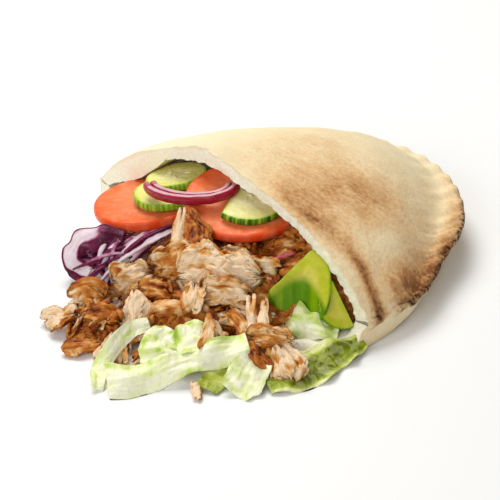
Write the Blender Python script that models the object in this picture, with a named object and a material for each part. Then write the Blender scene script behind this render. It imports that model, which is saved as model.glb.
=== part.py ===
"""Doner kebab sandwich: half a pita pocket lying on its side, filled to spilling over.

The lengths in the tables are millimetres; they become metres when a mesh is made.
X runs along the mouth of the pocket, from its left corner to its right corner.
Y runs into the pocket, and the filling spills out towards -Y.
Z is up, and the sandwich lies on z = 0.
"""
import math
import random

import bmesh
import bpy
import numpy as np

MM = 0.001

# Bread: a round pita, cut a little beyond its middle and opened into a pocket.
PITA_RADIUS = 95.0
PITA_CENTRE_Y = 22.0        # from the mouth's corners to the centre of the rim
CRUST = 7.0                 # width of bread between rim and hollow, in plan
LIP_THICKNESS = 5.0
SEAM_LOW = 10.0             # height of the pressed rim at the corners
SEAM_RISE = 10.0            # how much higher it is at the back
LIP_RISE = 42.5             # top of the upper lip above the corners
LIP_PEAK = 4.8              # the upper lip is pushed up into a blunt point
PEAK_PLACE = -0.13          # where along the lip, from -1 at the left to 1 at the right
PEAK_WIDTH = 0.2
LEFT_LIP = 8.2              # extra thickness of the upper lip near the left corner
LEFT_LIP_START = 0.45       # where it starts, from 0 at the middle to 1 at the corner
LEFT_SLOPE = 0.35           # how much lower the upper lip runs on its left side
LEFT_FALL = 0.6             # how much sooner the dome falls away behind it there
DOME_POWER = 0.6
BULGE = 9.5                 # the dough spread further at the back right
BULGE_ANGLE = 80.0          # direction of that bulge in degrees, from +X
BULGE_SPREAD = 36.0
DENT = 4.0                  # and less far at the right
DENT_ANGLE = 25.0
DENT_SPREAD = 12.0
FLAP_REACH = 38.0           # how far the lower lip sticks out under the filling
FLAP_LIFT = 2.5
FLANGE = 6.0                # flat pressed edge round the rim
EDGE_ROUND = 1.6
FLOOR_THICKNESS = 4.5
CRIMP = 0.7
CRIMP_REACH = 15.0
BREAD_COLUMNS = 56

# Filling
GAP = 0.5                   # air left between neighbouring pieces
PLUG_INSET = 1.8            # filling stands clear of the pocket's inner wall
PLUG_COLUMNS = 22
TOMATO_RADIUS = 27.0
CUCUMBER_RADIUS = 20.0
LEFT_TILT = (-0.105, -0.05, 0.993)      # upright axis of the slices at the left
RIGHT_TILT = (0.152, -0.141, 0.978)
LEAF_THICKNESS = 1.5
SLICE_SEGMENTS = 28
SHAVING_STATIONS = 4
STREWN_SHAVINGS = 11
# Welding distance and merging angle (degrees) to try, the strongest first.
WELDS = ((0.05, 0.0), (0.02, 0.0), (0.005, 0.0), (0.001, 0.0))
HEAP_WELDS = ((0.2, 3.0), (0.1, 3.0), (0.1, 1.5), (0.05, 1.5), (0.02, 1.0)) + WELDS

# The middle of the sandwich's footprint in the coordinates used here. The finished
# pieces are shifted by it, so that the sandwich stands centred on the origin.
FOOTPRINT_CENTRE = (1.9, 10.0)

FRONT_SIDE = (0.63, -0.59, 0.50)        # what most of the filling faces
FLAT_SIDE = (0.2, -0.35, 0.92)          # what the pieces lying on the table face


# Small helpers
def unit(vector):
    vector = np.asarray(vector, float)
    return vector / np.linalg.norm(vector)


def clear_scene():
    for obj in list(bpy.data.objects):
        bpy.data.objects.remove(obj, do_unlink=True)


def paint(obj, name, colour, roughness):
    """Give the object a plain material of its own."""
    material = bpy.data.materials.new(name)
    material.use_nodes = True
    shader = material.node_tree.nodes["Principled BSDF"]
    shader.inputs["Base Color"].default_value = (*colour, 1.0)
    shader.inputs["Roughness"].default_value = roughness
    shader.inputs["Metallic"].default_value = 0.0
    obj.data.materials.clear()
    obj.data.materials.append(material)


def add_solid(name, points, faces):
    """Make a closed mesh object from points in millimetres."""
    shifted = [((x - FOOTPRINT_CENTRE[0]) * MM, (y - FOOTPRINT_CENTRE[1]) * MM, z * MM)
               for x, y, z in points]
    mesh = bpy.data.meshes.new(name)
    mesh.from_pydata(shifted, [], faces)
    obj = bpy.data.objects.new(name, mesh)
    bpy.context.scene.collection.objects.link(obj)
    tidy(obj)
    return obj


def welded(mesh, distance, angle):
    """A copy of the mesh with near points joined and near-flat faces merged."""
    bm = bmesh.new()
    bm.from_mesh(mesh)
    bmesh.ops.remove_doubles(bm, verts=bm.verts, dist=distance * MM)
    bmesh.ops.dissolve_degenerate(bm, edges=bm.edges, dist=distance * MM)
    if angle > 0.0:
        bmesh.ops.dissolve_limit(bm, angle_limit=math.radians(angle),
                                 verts=bm.verts, edges=bm.edges)
    bmesh.ops.triangulate(bm, faces=bm.faces)
    keep_largest(bm)
    return bm


def tidy(obj, tries=WELDS):
    """Simplify as far as the mesh stays closed, and turn the faces outward."""
    for distance, angle in tries:
        bm = welded(obj.data, distance, angle)
        if all(len(edge.link_faces) == 2 for edge in bm.edges):
            break
        if (distance, angle) != tries[-1]:
            bm.free()
    bmesh.ops.recalc_face_normals(bm, faces=bm.faces)
    if bm.calc_volume(signed=True) < 0.0:
        bmesh.ops.reverse_faces(bm, faces=bm.faces)
    bm.to_mesh(obj.data)
    bm.free()


def keep_largest(bm):
    unseen = set(bm.verts)
    groups = []
    while unseen:
        stack = [unseen.pop()]
        group = [stack[0]]
        while stack:
            for edge in stack.pop().link_edges:
                for vert in edge.verts:
                    if vert in unseen:
                        unseen.remove(vert)
                        stack.append(vert)
                        group.append(vert)
        groups.append(group)
    groups.sort(key=len)
    for group in groups[:-1]:
        bmesh.ops.delete(bm, geom=group, context="VERTS")


def grown(obj, distance):
    """A temporary copy with every point moved outward, used to cut clearances."""
    bm = bmesh.new()
    bm.from_mesh(obj.data)
    bm.normal_update()
    moves = []
    for vert in bm.verts:
        factor = min(max(vert.calc_shell_factor(), 1.0), 1.8)
        moves.append(vert.normal * (distance * factor * MM))
    for vert, move in zip(bm.verts, moves):
        vert.co += move
    mesh = bpy.data.meshes.new("clearance")
    bm.to_mesh(mesh)
    bm.free()
    copy = bpy.data.objects.new("clearance", mesh)
    bpy.context.scene.collection.objects.link(copy)
    return copy


def combine(target, others, operation, tries=WELDS):
    """Join the others to the target, or cut them from it, and remove them."""
    tools = bpy.data.collections.new("tools")
    bpy.context.scene.collection.children.link(tools)
    for other in others:
        bpy.context.scene.collection.objects.unlink(other)
        tools.objects.link(other)
    modifier = target.modifiers.new("combine", "BOOLEAN")
    modifier.operation = operation
    modifier.operand_type = "COLLECTION"
    modifier.collection = tools
    modifier.solver = "MANIFOLD"
    bpy.context.view_layer.update()
    evaluated = target.evaluated_get(bpy.context.evaluated_depsgraph_get())
    result = bpy.data.meshes.new_from_object(evaluated)
    target.modifiers.clear()
    target.data = result
    for other in list(tools.objects):
        bpy.data.objects.remove(other, do_unlink=True)
    bpy.data.collections.remove(tools)
    tidy(target, tries)


def trim(target, neighbours, gap=GAP, tries=WELDS):
    """Shorten the target where it would touch its neighbours."""
    combine(target, [grown(other, gap) for other in neighbours], "DIFFERENCE", tries)


def grid_faces(columns, rows, start=0):
    """Quads of a grid of points stored column by column."""
    faces = []
    for i in range(columns - 1):
        for j in range(rows - 1):
            a = start + i * rows + j
            faces.append((a, a + rows, a + rows + 1, a + 1))
    return faces


# Bread
def rim_point(tau, radius):
    reach = math.asin(PITA_CENTRE_Y / radius)
    theta = -reach + tau / math.pi * (math.pi + 2.0 * reach)
    radius += BULGE * math.exp(-((math.degrees(theta) - BULGE_ANGLE) / BULGE_SPREAD) ** 2)
    radius -= DENT * math.exp(-((math.degrees(theta) - DENT_ANGLE) / DENT_SPREAD) ** 2)
    return np.array([radius * math.cos(theta), PITA_CENTRE_Y + radius * math.sin(theta)])


def mouth_half(radius):
    return math.sqrt(radius * radius - PITA_CENTRE_Y * PITA_CENTRE_Y)


def upper_lip(tau, radius):
    return np.array([mouth_half(radius) * math.cos(tau), 0.0])


def lower_lip(tau, radius, reach):
    """The lower lip sticks out furthest on the right and draws back on the left."""
    power = 0.5 if math.cos(tau) > 0.0 else 0.5 - 2.5 * math.cos(tau)
    return np.array([mouth_half(radius) * math.cos(tau), -reach * math.sin(tau) ** power])


def seam_height(tau):
    return SEAM_LOW + SEAM_RISE * math.sin(tau) ** 1.2


def lip_height(tau, rise):
    power = 1.3 + LEFT_SLOPE * max(0.0, -math.cos(tau))
    return SEAM_LOW + rise * math.sin(tau) ** power


def dome_fall(tau, v):
    """Height of the dome between rim and lip, from 0 to 1; it falls sooner on the left."""
    left = min(max((-0.02 - math.cos(tau)) / 0.5, 0.0), 1.0)
    return (1.0 - v * v) ** (DOME_POWER + LEFT_FALL * left)


def lip_peak(tau, v):
    """The blunt point of the upper lip, fading away behind it."""
    away = (math.cos(tau) - PEAK_PLACE) / PEAK_WIDTH
    return LIP_PEAK * math.exp(-away * away) * (1.0 - v) ** 3


def left_thickening(tau):
    """How far the hollow's roof is lowered near the left corner."""
    along = (-math.cos(tau) - LEFT_LIP_START) / (1.0 - LEFT_LIP_START)
    return LEFT_LIP * math.sin(math.pi * along) if 0.0 < along < 1.0 else 0.0


def edge_round(depth):
    t = min(depth / EDGE_ROUND, 1.0)
    return EDGE_ROUND * math.sqrt(1.0 - (1.0 - t) ** 2)


def crimp(tau, depth):
    return CRIMP * math.cos(BREAD_COLUMNS * tau) * max(0.0, 1.0 - depth / CRIMP_REACH)


def flap_bend(v):
    """The lower lip curls up a little; the underside behind it is flat."""
    return max(0.0, 1.0 - 2.2 * v) ** 2


def crust_top(tau, v):
    lip, rim = upper_lip(tau, PITA_RADIUS), rim_point(tau, PITA_RADIUS)
    length = np.linalg.norm(rim - lip)
    depth = (1.0 - v) * length
    bulge = max(0.0, lip_height(tau, LIP_RISE) - seam_height(tau) - EDGE_ROUND)
    along = min(v / max(1.0 - FLANGE / length, 0.2), 1.0)
    z = seam_height(tau) + edge_round(depth) + bulge * dome_fall(tau, along)
    x, y = lip + (rim - lip) * v
    return x, y, z + crimp(tau, depth) + lip_peak(tau, v)


def crust_bottom(tau, v):
    lip, rim = lower_lip(tau, PITA_RADIUS, FLAP_REACH), rim_point(tau, PITA_RADIUS)
    depth = (1.0 - v) * np.linalg.norm(rim - lip)
    width = 12.0 + 20.0 * math.sin(tau)
    t = min(max((depth - FLANGE) / width, 0.0), 1.0)
    base = FLAP_LIFT * flap_bend(v) * math.sin(tau)
    z = seam_height(tau) - edge_round(depth)
    z -= (z - base) * math.sqrt(1.0 - (1.0 - t) ** 2)
    x, y = lip + (rim - lip) * v
    return x, y, z + crimp(tau, depth) * (1.0 - t)


def hollow_top(tau, v, inset=0.0):
    radius = PITA_RADIUS - CRUST - inset
    lip, rim = upper_lip(tau, radius), rim_point(tau, radius)
    rise = lip_height(tau, LIP_RISE - LIP_THICKNESS) - left_thickening(tau) - seam_height(tau)
    z = seam_height(tau) + max(rise, 0.3) * dome_fall(tau, v)
    x, y = lip + (rim - lip) * v
    return x, y, z + 0.5 * lip_peak(tau, v) - inset * math.sin(tau)


def hollow_bottom(tau, v, inset=0.0, reach=FLAP_REACH - 1.0):
    radius = PITA_RADIUS - CRUST - inset
    lip, rim = lower_lip(tau, radius, reach), rim_point(tau, radius)
    depth = (1.0 - v) * np.linalg.norm(rim - lip)
    width = 8.0 + 18.0 * math.sin(tau)
    t = min(depth / width, 1.0)
    base = FLOOR_THICKNESS + FLAP_LIFT * flap_bend(v) * math.sin(tau)
    z = seam_height(tau) - (seam_height(tau) - base) * math.sqrt(1.0 - (1.0 - t) ** 2)
    x, y = lip + (rim - lip) * v
    return x, y, z + inset * math.sin(tau)


def pocket_surface(top, bottom, columns, top_rows, bottom_rows):
    """A skin from the upper lip over the rim to the lower lip, closed at both corners."""
    rows = len(top_rows) + len(bottom_rows)
    points = []
    for i in range(columns + 1):
        tau = min(max(math.pi * i / columns, 1e-9), math.pi - 1e-9)
        points.extend(top(tau, v) for v in top_rows)
        points.extend(bottom(tau, v) for v in bottom_rows)
    for column in (0, columns):
        corner = points[column * rows]
        for row in range(rows):
            points[column * rows + row] = corner
    return points, rows


def make_bread():
    rng = random.Random(7)
    outer, outer_rows = pocket_surface(crust_top, crust_bottom, BREAD_COLUMNS,
                                       (0.0, 0.2, 0.42, 0.62, 0.78, 0.89, 0.95, 1.0),
                                       (0.96, 0.88, 0.74, 0.46, 0.2, 0.0))
    inner, inner_rows = pocket_surface(hollow_top, hollow_bottom, BREAD_COLUMNS,
                                       (0.0, 0.35, 0.65, 0.88, 1.0),
                                       (0.9, 0.72, 0.2, 0.0))
    for i in range(2, BREAD_COLUMNS - 1):
        x, y, z = outer[i * outer_rows]
        outer[i * outer_rows] = (x, y + rng.uniform(-0.6, 0.6), z + rng.uniform(-0.5, 0.5))
        x, y, z = outer[(i + 1) * outer_rows - 1]
        outer[(i + 1) * outer_rows - 1] = (x, y + rng.uniform(-0.6, 0.6), z)
    faces = grid_faces(BREAD_COLUMNS + 1, outer_rows)
    start = len(outer)
    faces += [face[::-1] for face in grid_faces(BREAD_COLUMNS + 1, inner_rows, start)]
    for i in range(BREAD_COLUMNS):
        for outside, inside in ((0, 0), (outer_rows - 1, inner_rows - 1)):
            a = i * outer_rows + outside
            b = start + i * inner_rows + inside
            quad = (a, b, b + inner_rows, a + outer_rows)
            faces.append(quad if outside == 0 else quad[::-1])
    bread = add_solid("pita_bread", outer + inner, faces)
    paint(bread, "pita_crust", (0.78, 0.58, 0.36), 0.8)
    return bread


# Slices, rings, strips
def plane_axes(normal, heading):
    normal = unit(normal)
    across = unit(np.asarray(heading, float) - np.dot(heading, normal) * normal)
    return across, np.cross(normal, across), normal


def make_slice(name, centre, normal, outline, thickness, heading=(1.0, 0.0, 0.0)):
    """A flat slice with softened edges; the outline is in the slice's own plane."""
    across, up, face = plane_axes(normal, heading)
    middle = np.mean(outline, axis=0)
    half = thickness / 2.0
    rings = ((half, 0.93), (half * 0.5, 1.0), (-half * 0.5, 1.0), (-half, 0.93))
    points = []
    for height, scale in rings:
        for corner in outline:
            u, w = middle + (np.asarray(corner) - middle) * scale
            points.append(np.asarray(centre) + across * u + up * w + face * height)
    count = len(outline)
    faces = []
    for ring in range(len(rings) - 1):
        for i in range(count):
            j = (i + 1) % count
            a, b = ring * count, (ring + 1) * count
            faces.append((a + i, b + i, b + j, a + j))
    for ring, height in ((0, half), (len(rings) - 1, -half)):
        hub = len(points)
        points.append(np.asarray(centre) + across * middle[0] + up * middle[1] + face * height)
        for i in range(count):
            faces.append((hub, ring * count + i, ring * count + (i + 1) % count))
    return add_solid(name, points, faces)


def disc(radius, start=0.0, sweep=360.0, squash=1.0, segments=SLICE_SEGMENTS):
    """A full circle, or a piece of it that ends in a straight cut."""
    full = sweep >= 360.0
    count = segments if full else segments - 4
    steps = count if full else count - 1
    angles = [math.radians(start + sweep * i / steps) for i in range(count)]
    return [(radius * math.cos(a), radius * squash * math.sin(a)) for a in angles]


def spline(points, t):
    """A smooth curve through the points, with t from 0 to 1."""
    points = [np.asarray(p, float) for p in points]
    ends = [2 * points[0] - points[1]] + points + [2 * points[-1] - points[-2]]
    place = min(max(t, 0.0), 1.0) * (len(points) - 1)
    i = min(int(place), len(points) - 2)
    f = place - i
    a, b, c, d = ends[i:i + 4]
    return 0.5 * (2 * b + (c - a) * f + (2 * a - 5 * b + 4 * c - d) * f ** 2
                  + (3 * b - a - 3 * c + d) * f ** 3)


def spline_frame(points, t, face):
    """Place, direction along, direction across and face of a band at t."""
    along = unit(spline(points, t + 0.01) - spline(points, t - 0.01))
    across = unit(np.cross(face, along))
    return spline(points, t), across, unit(np.cross(along, across))


def strip_mesh(path, width, thickness, face, stations, rng=None, roughness=0.0):
    """A band of six-sided section with pointed ends."""
    rng = rng or random.Random(1)
    sections = ((-1.0, 0.0), (-0.55, 0.5), (0.55, 0.5), (1.0, 0.0), (0.5, -0.5), (-0.5, -0.5))
    points = [spline(path, 0.0)]
    for k in range(stations):
        t = (k + 0.6) / (stations + 0.2)
        place, across, up = spline_frame(path, t, face)
        taper = min(1.0, 0.62 + 1.6 * min(t, 1.0 - t))
        for u, w in sections:
            jitter = 1.0 + rng.uniform(-roughness, roughness)
            points.append(place + across * (u * width / 2 * taper * jitter)
                          + up * (w * thickness * taper * jitter))
    points.append(spline(path, 1.0))
    count = len(sections)
    faces = []
    for i in range(count):
        j = (i + 1) % count
        faces.append((0, 1 + i, 1 + j))
        for k in range(stations - 1):
            a = 1 + k * count
            faces.append((a + i, a + count + i, a + count + j, a + j))
        last = 1 + (stations - 1) * count
        faces.append((last + i, len(points) - 1, last + j))
    return points, faces


def make_strip(name, path, width, thickness, face, stations=5, seed=1, roughness=0.15):
    points, faces = strip_mesh(path, width, thickness, face, stations,
                               random.Random(seed), roughness)
    return add_solid(name, points, faces)


def make_leaf(name, path, widths, face, ruffle, waves, seed,
              stations=10, ribs=4, cup=0.0, thickness=LEAF_THICKNESS):
    """A thin wavy solid whose two faces are split into matching triangles."""
    rng = random.Random(seed)
    rows = ribs + 1
    upper = []
    under = []
    for i in range(stations + 1):
        t = i / stations
        place, across, up = spline_frame(path, t, face)
        width = spline([(w, 0.0) for w in widths], t)[0]
        left, right = (1.0 + rng.uniform(-0.12, 0.12) for _ in range(2))
        for j in range(rows):
            w = 2.0 * j / ribs - 1.0
            edge = left if w < 0 else right
            wave = ruffle * abs(w) ** 1.4 * math.sin(2 * math.pi * waves * t + (1.9 if w > 0 else 0))
            point = place + across * (w * width / 2 * edge) + up * (wave + cup * w * w)
            upper.append(point + up * thickness / 2)
            under.append(point - up * thickness / 2)
    points = upper + under
    below = len(upper)
    faces = []
    for i in range(stations):
        for j in range(ribs):
            a = i * rows + j
            for tri in ((a, a + rows, a + rows + 1), (a, a + rows + 1, a + 1)):
                faces.append(tri)
                faces.append(tuple(below + k for k in tri[::-1]))
    border = ([i * rows for i in range(stations + 1)]
              + [stations * rows + j for j in range(1, rows)]
              + [i * rows + ribs for i in range(stations - 1, -1, -1)]
              + [j for j in range(ribs - 1, 0, -1)])
    for k, a in enumerate(border):
        b = border[(k + 1) % len(border)]
        faces.append((a, below + a, below + b))
        faces.append((a, below + b, b))
    return add_solid(name, points, faces)


def make_dome(name, centre, radii, rings=4, segments=14):
    """A flat-bottomed cushion that fills the inside of a heap."""
    cx, cy, base = centre
    points = [(cx, cy, base + radii[2])]
    for k in range(1, rings + 1):
        polar = math.pi / 2 * k / rings
        for i in range(segments):
            a = 2 * math.pi * i / segments
            points.append((cx + radii[0] * math.sin(polar) * math.cos(a),
                           cy + radii[1] * math.sin(polar) * math.sin(a),
                           base + radii[2] * math.cos(polar)))
    points.append((cx, cy, base))
    hub = len(points) - 1
    faces = []
    for i in range(segments):
        j = (i + 1) % segments
        faces.append((0, 1 + i, 1 + j))
        for k in range(rings - 1):
            a, b = 1 + k * segments, 1 + (k + 1) * segments
            faces.append((a + i, b + i, b + j, a + j))
        last = 1 + (rings - 1) * segments
        faces.append((last + i, hub, last + j))
    return add_solid(name, points, faces)


# The vegetables
def make_tomatoes():
    right = make_slice("tomato_slice_right", (9.5, 5.4, 36.0), RIGHT_TILT,
                       disc(TOMATO_RADIUS), 4.6)
    left = make_slice("tomato_slice_left", (-42.0, -9.5, 20.6), LEFT_TILT,
                      disc(TOMATO_RADIUS - 1.0), 5.0)
    for tomato in (right, left):
        paint(tomato, tomato.name + "_flesh", (0.80, 0.13, 0.05), 0.3)
    return [right, left]


def make_cucumbers():
    left = make_slice("cucumber_slice_left", (-33.0, -3.0, 27.2), LEFT_TILT,
                      disc(CUCUMBER_RADIUS - 2.5), 3.8)
    back = make_slice("cucumber_slice_back", (-35.0, 3.0, 32.7), (-0.2, -0.05, 0.97),
                      disc(CUCUMBER_RADIUS - 5.0), 3.4)
    # A slice cut straight beside its middle, lying on the right tomato slice.
    half = make_slice("cucumber_half_slice", (12.6, 5.6, 40.0), RIGHT_TILT,
                      disc(CUCUMBER_RADIUS - 1.0, -111.0, 222.0), 3.4,
                      heading=(0.89, 0.46, 0.0))
    # A thick wedge: the straight cut faces up and right, the skin down and left.
    wedge = [(4.8, 15.5), (-4.0, 6.5), (-13.9, -4.5), (-9.5, -9.5), (-2.0, -13.5),
             (6.5, -15.0), (11.0, -11.5), (13.0, -2.0), (12.2, 8.0)]
    chunk = make_slice("cucumber_chunk", (62.6, -10.8, 20.4), (0.42, -0.39, 0.82),
                       wedge, 13.0, heading=(0.68, 0.73, 0.0))
    # A slice on edge in the corner of the mouth, its straight cut along the lip.
    corner = make_slice("cucumber_slice_corner", (78.0, -2.2, 16.4), (0.75, -0.41, 0.52),
                        disc(11.0, 90.0, 180.0, 1.0, 18), 2.8, heading=(0.31, 0.91, 0.27))
    trim(corner, [chunk])
    pieces = [left, back, half, chunk, corner]
    for piece in pieces:
        paint(piece, piece.name + "_flesh", (0.48, 0.62, 0.18), 0.35)
    return pieces


def make_onions():
    """Half a ring of two layers, and one loose strip."""
    centre = np.array([-15.7, -4.7, 38.8])
    along = np.array([19.0, 8.6, 4.0])
    forward = np.array([13.8, -10.8, 1.8])
    up = unit(np.cross(forward, along))
    section = ((-3.0, -1.9), (-0.3, -2.2), (0.0, -1.6), (0.4, -2.1), (2.9, -1.8),
               (3.2, 1.6), (0.5, 2.2), (0.1, 1.6), (-0.3, 2.3), (-2.8, 2.0))
    steps = 22
    points = []
    for k in range(steps + 1):
        angle = math.radians(-6.0 + 192.0 * k / steps)
        heading = forward * math.cos(angle) - along * math.sin(angle)
        outward = unit(np.cross(up, heading))
        place = centre + along * math.cos(angle) + forward * math.sin(angle)
        pinch = min(1.0, 0.55 + 0.2 * min(k, steps - k))
        points.extend(place + outward * u * pinch + up * w * pinch for u, w in section)
    count = len(section)
    faces = []
    for k in range(steps):
        for i in range(count):
            j = (i + 1) % count
            a, b = k * count, (k + 1) * count
            faces.append((a + i, b + i, b + j, a + j))
    faces.append(tuple(range(count)))
    faces.append(tuple(steps * count + i for i in range(count)))
    ring = add_solid("red_onion_ring", points, faces)
    strip = make_strip("red_onion_strip", [(40, -17, 23.5), (48, -10, 26.5), (55, -3, 29.5)],
                       5.0, 2.2, (0.5, -0.6, 0.6), stations=4)
    for piece in (ring, strip):
        paint(piece, piece.name + "_skin", (0.35, 0.05, 0.20), 0.35)
    return [ring, strip]


def make_cabbage():
    """Shredded red cabbage in one tangle: a curled piece of leaf and crossing shreds."""
    shreds = [
        ([(-12, -16, 24), (-14, -33, 22), (-15, -48, 16), (-15, -60, 8)], 4.4, 2.4),
        ([(-24, -24, 18), (-17, -36, 21), (-15, -52, 14), (-10, -63, 7)], 3.6, 2.4),
        ([(-6, -20, 25), (-9, -34, 23), (-10, -46, 17)], 4.0, 2.2),
        ([(-30, -34, 17), (-22, -44, 15), (-14, -52, 10)], 4.6, 2.6),
        ([(-34, -40, 15), (-26, -32, 17), (-18, -22, 18)], 4.0, 2.6),
        ([(-20, -56, 12), (-12, -58, 10), (-4, -66, 8)], 3.6, 2.4),
        ([(-38, -46, 14), (-30, -50, 12), (-20, -54, 9)], 4.4, 2.6),
        ([(-42, -58, 13), (-34, -62, 7), (-26, -58, 3), (-16, -58, 3)], 4.0, 2.4)]
    core = make_dome("red_cabbage", (-21, -42, -1.0), (14, 19, 15), 3, 12)
    parts = []
    for k, (path, width, thickness) in enumerate(shreds):
        parts.append(make_strip("shred", path, width, thickness, (-0.3, -0.4, 0.86), 4, 20 + k))
    parts.append(make_leaf("curl", [(-25, -38, 19), (-33, -45, 20), (-37, -52, 17),
                                    (-34, -58, 12), (-27, -55, 9)],
                           (10, 13, 13, 11, 8), (0.45, -0.3, 0.84), 1.6, 2.0, 31, 7, 2, -2.0, 1.8))
    parts.append(make_leaf("curl", [(-44, -52, 8), (-38, -50, 9), (-30, -47, 9), (-22, -46, 8)],
                           (10, 16, 16, 12), (0.2, -0.3, 0.93), 1.2, 1.6, 33, 5, 2, 2.0, 1.8))
    combine(core, parts, "UNION")
    paint(core, "cabbage_purple", (0.12, 0.02, 0.10), 0.4)
    return core


def make_lettuce():
    leaves = [
        make_leaf("lettuce_front_leaf", [(43, -101, 4.5), (52, -87, 5.5), (58, -72, 9),
                                         (65, -59, 11), (71, -49, 12.5)],
                  (17, 19, 12, 12, 12), (0.5, -0.42, 0.76), 1.8, 2.6, 41, 12, 4, -1.5),
        make_leaf("lettuce_ribbon", [(40, -104, 1.8), (33, -97, 4), (28, -86, 7.5),
                                     (27, -76, 11), (30, -68, 12)],
                  (6, 8, 9, 8, 6), (0.75, -0.35, 0.55), 0.8, 1.5, 42, 8, 2),
        make_leaf("lettuce_torn_left", [(47, -78, 5), (42, -72, 10), (41, -65, 14)],
                  (14, 17, 8), (0.5, -0.5, 0.7), 1.5, 1.6, 43, 6, 3, -1.5),
        make_leaf("lettuce_torn_right", [(57, -66, 10), (50, -62, 13), (46, -56, 15)],
                  (13, 15, 9), (0.5, -0.5, 0.7), 1.5, 1.4, 44, 6, 3, -1.5),
        make_leaf("lettuce_ribbed_piece", [(80, -66, 1.8), (79, -58, 5), (76, -50, 8)],
                  (13, 17, 14), (0.5, -0.45, 0.74), 0.8, 1.2, 45, 6, 4, 1.0),
        make_leaf("lettuce_yellow_piece", [(71, -72, 1.6), (68, -64, 3.4), (64, -56, 4.5)],
                  (9, 12, 10), (0.4, -0.4, 0.82), 0.6, 1.0, 46, 5, 2),
        make_leaf("lettuce_right_leaf", [(84, -52, 2.4), (89, -38, 3), (90, -24, 3.5),
                                         (91, -12, 3.5), (93, -3, 5)],
                  (13, 20, 17, 13, 6), (0.25, -0.1, 0.96), 1.5, 3.0, 47, 12, 3, 0.0),
        make_leaf("lettuce_inner_leaf", [(54, -18, 12), (62, -17, 12), (73, -15, 9.5),
                                         (83, -9, 7.6)],
                  (9, 12, 10, 5), (0.4, -0.45, 0.8), 1.0, 2.0, 48, 8, 3),
        make_leaf("lettuce_green_bit", [(70, -7, 9.5), (76, -9, 8.6), (81, -11, 8.2)],
                  (6, 7, 4), (0.5, -0.4, 0.77), 0.4, 1.0, 49, 4, 2)]
    for leaf in leaves:
        paint(leaf, leaf.name + "_green", (0.45, 0.62, 0.17), 0.4)
    return leaves


# The meat heap
def make_plug():
    """The part of the filling inside the pocket, a little smaller than its hollow."""
    def top(tau, v):
        x, y, z = hollow_top(tau, v, PLUG_INSET)
        return x, y + 5.0 * math.sin(tau) * (1.0 - v), z

    def bottom(tau, v):
        x, y, z = hollow_bottom(tau, v, PLUG_INSET, 0.5)
        return x, y, z

    points, rows = pocket_surface(top, bottom, PLUG_COLUMNS,
                                  (0.0, 0.4, 0.75, 0.98), (0.9, 0.75, 0.0))
    faces = grid_faces(PLUG_COLUMNS + 1, rows)
    for i in range(PLUG_COLUMNS):
        a = i * rows
        faces.append((a, a + rows - 1, a + 2 * rows - 1, a + rows))
    return add_solid("doner_meat", points, faces)


def slope_height(x, y):
    """Height of the heap's face in front of the mouth, for pieces strewn over it."""
    middle = 34.0 + 0.44 * y
    side = max(0.0, abs(x - 28.0) - 30.0)
    return max(3.0, middle - 0.5 * side)


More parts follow.
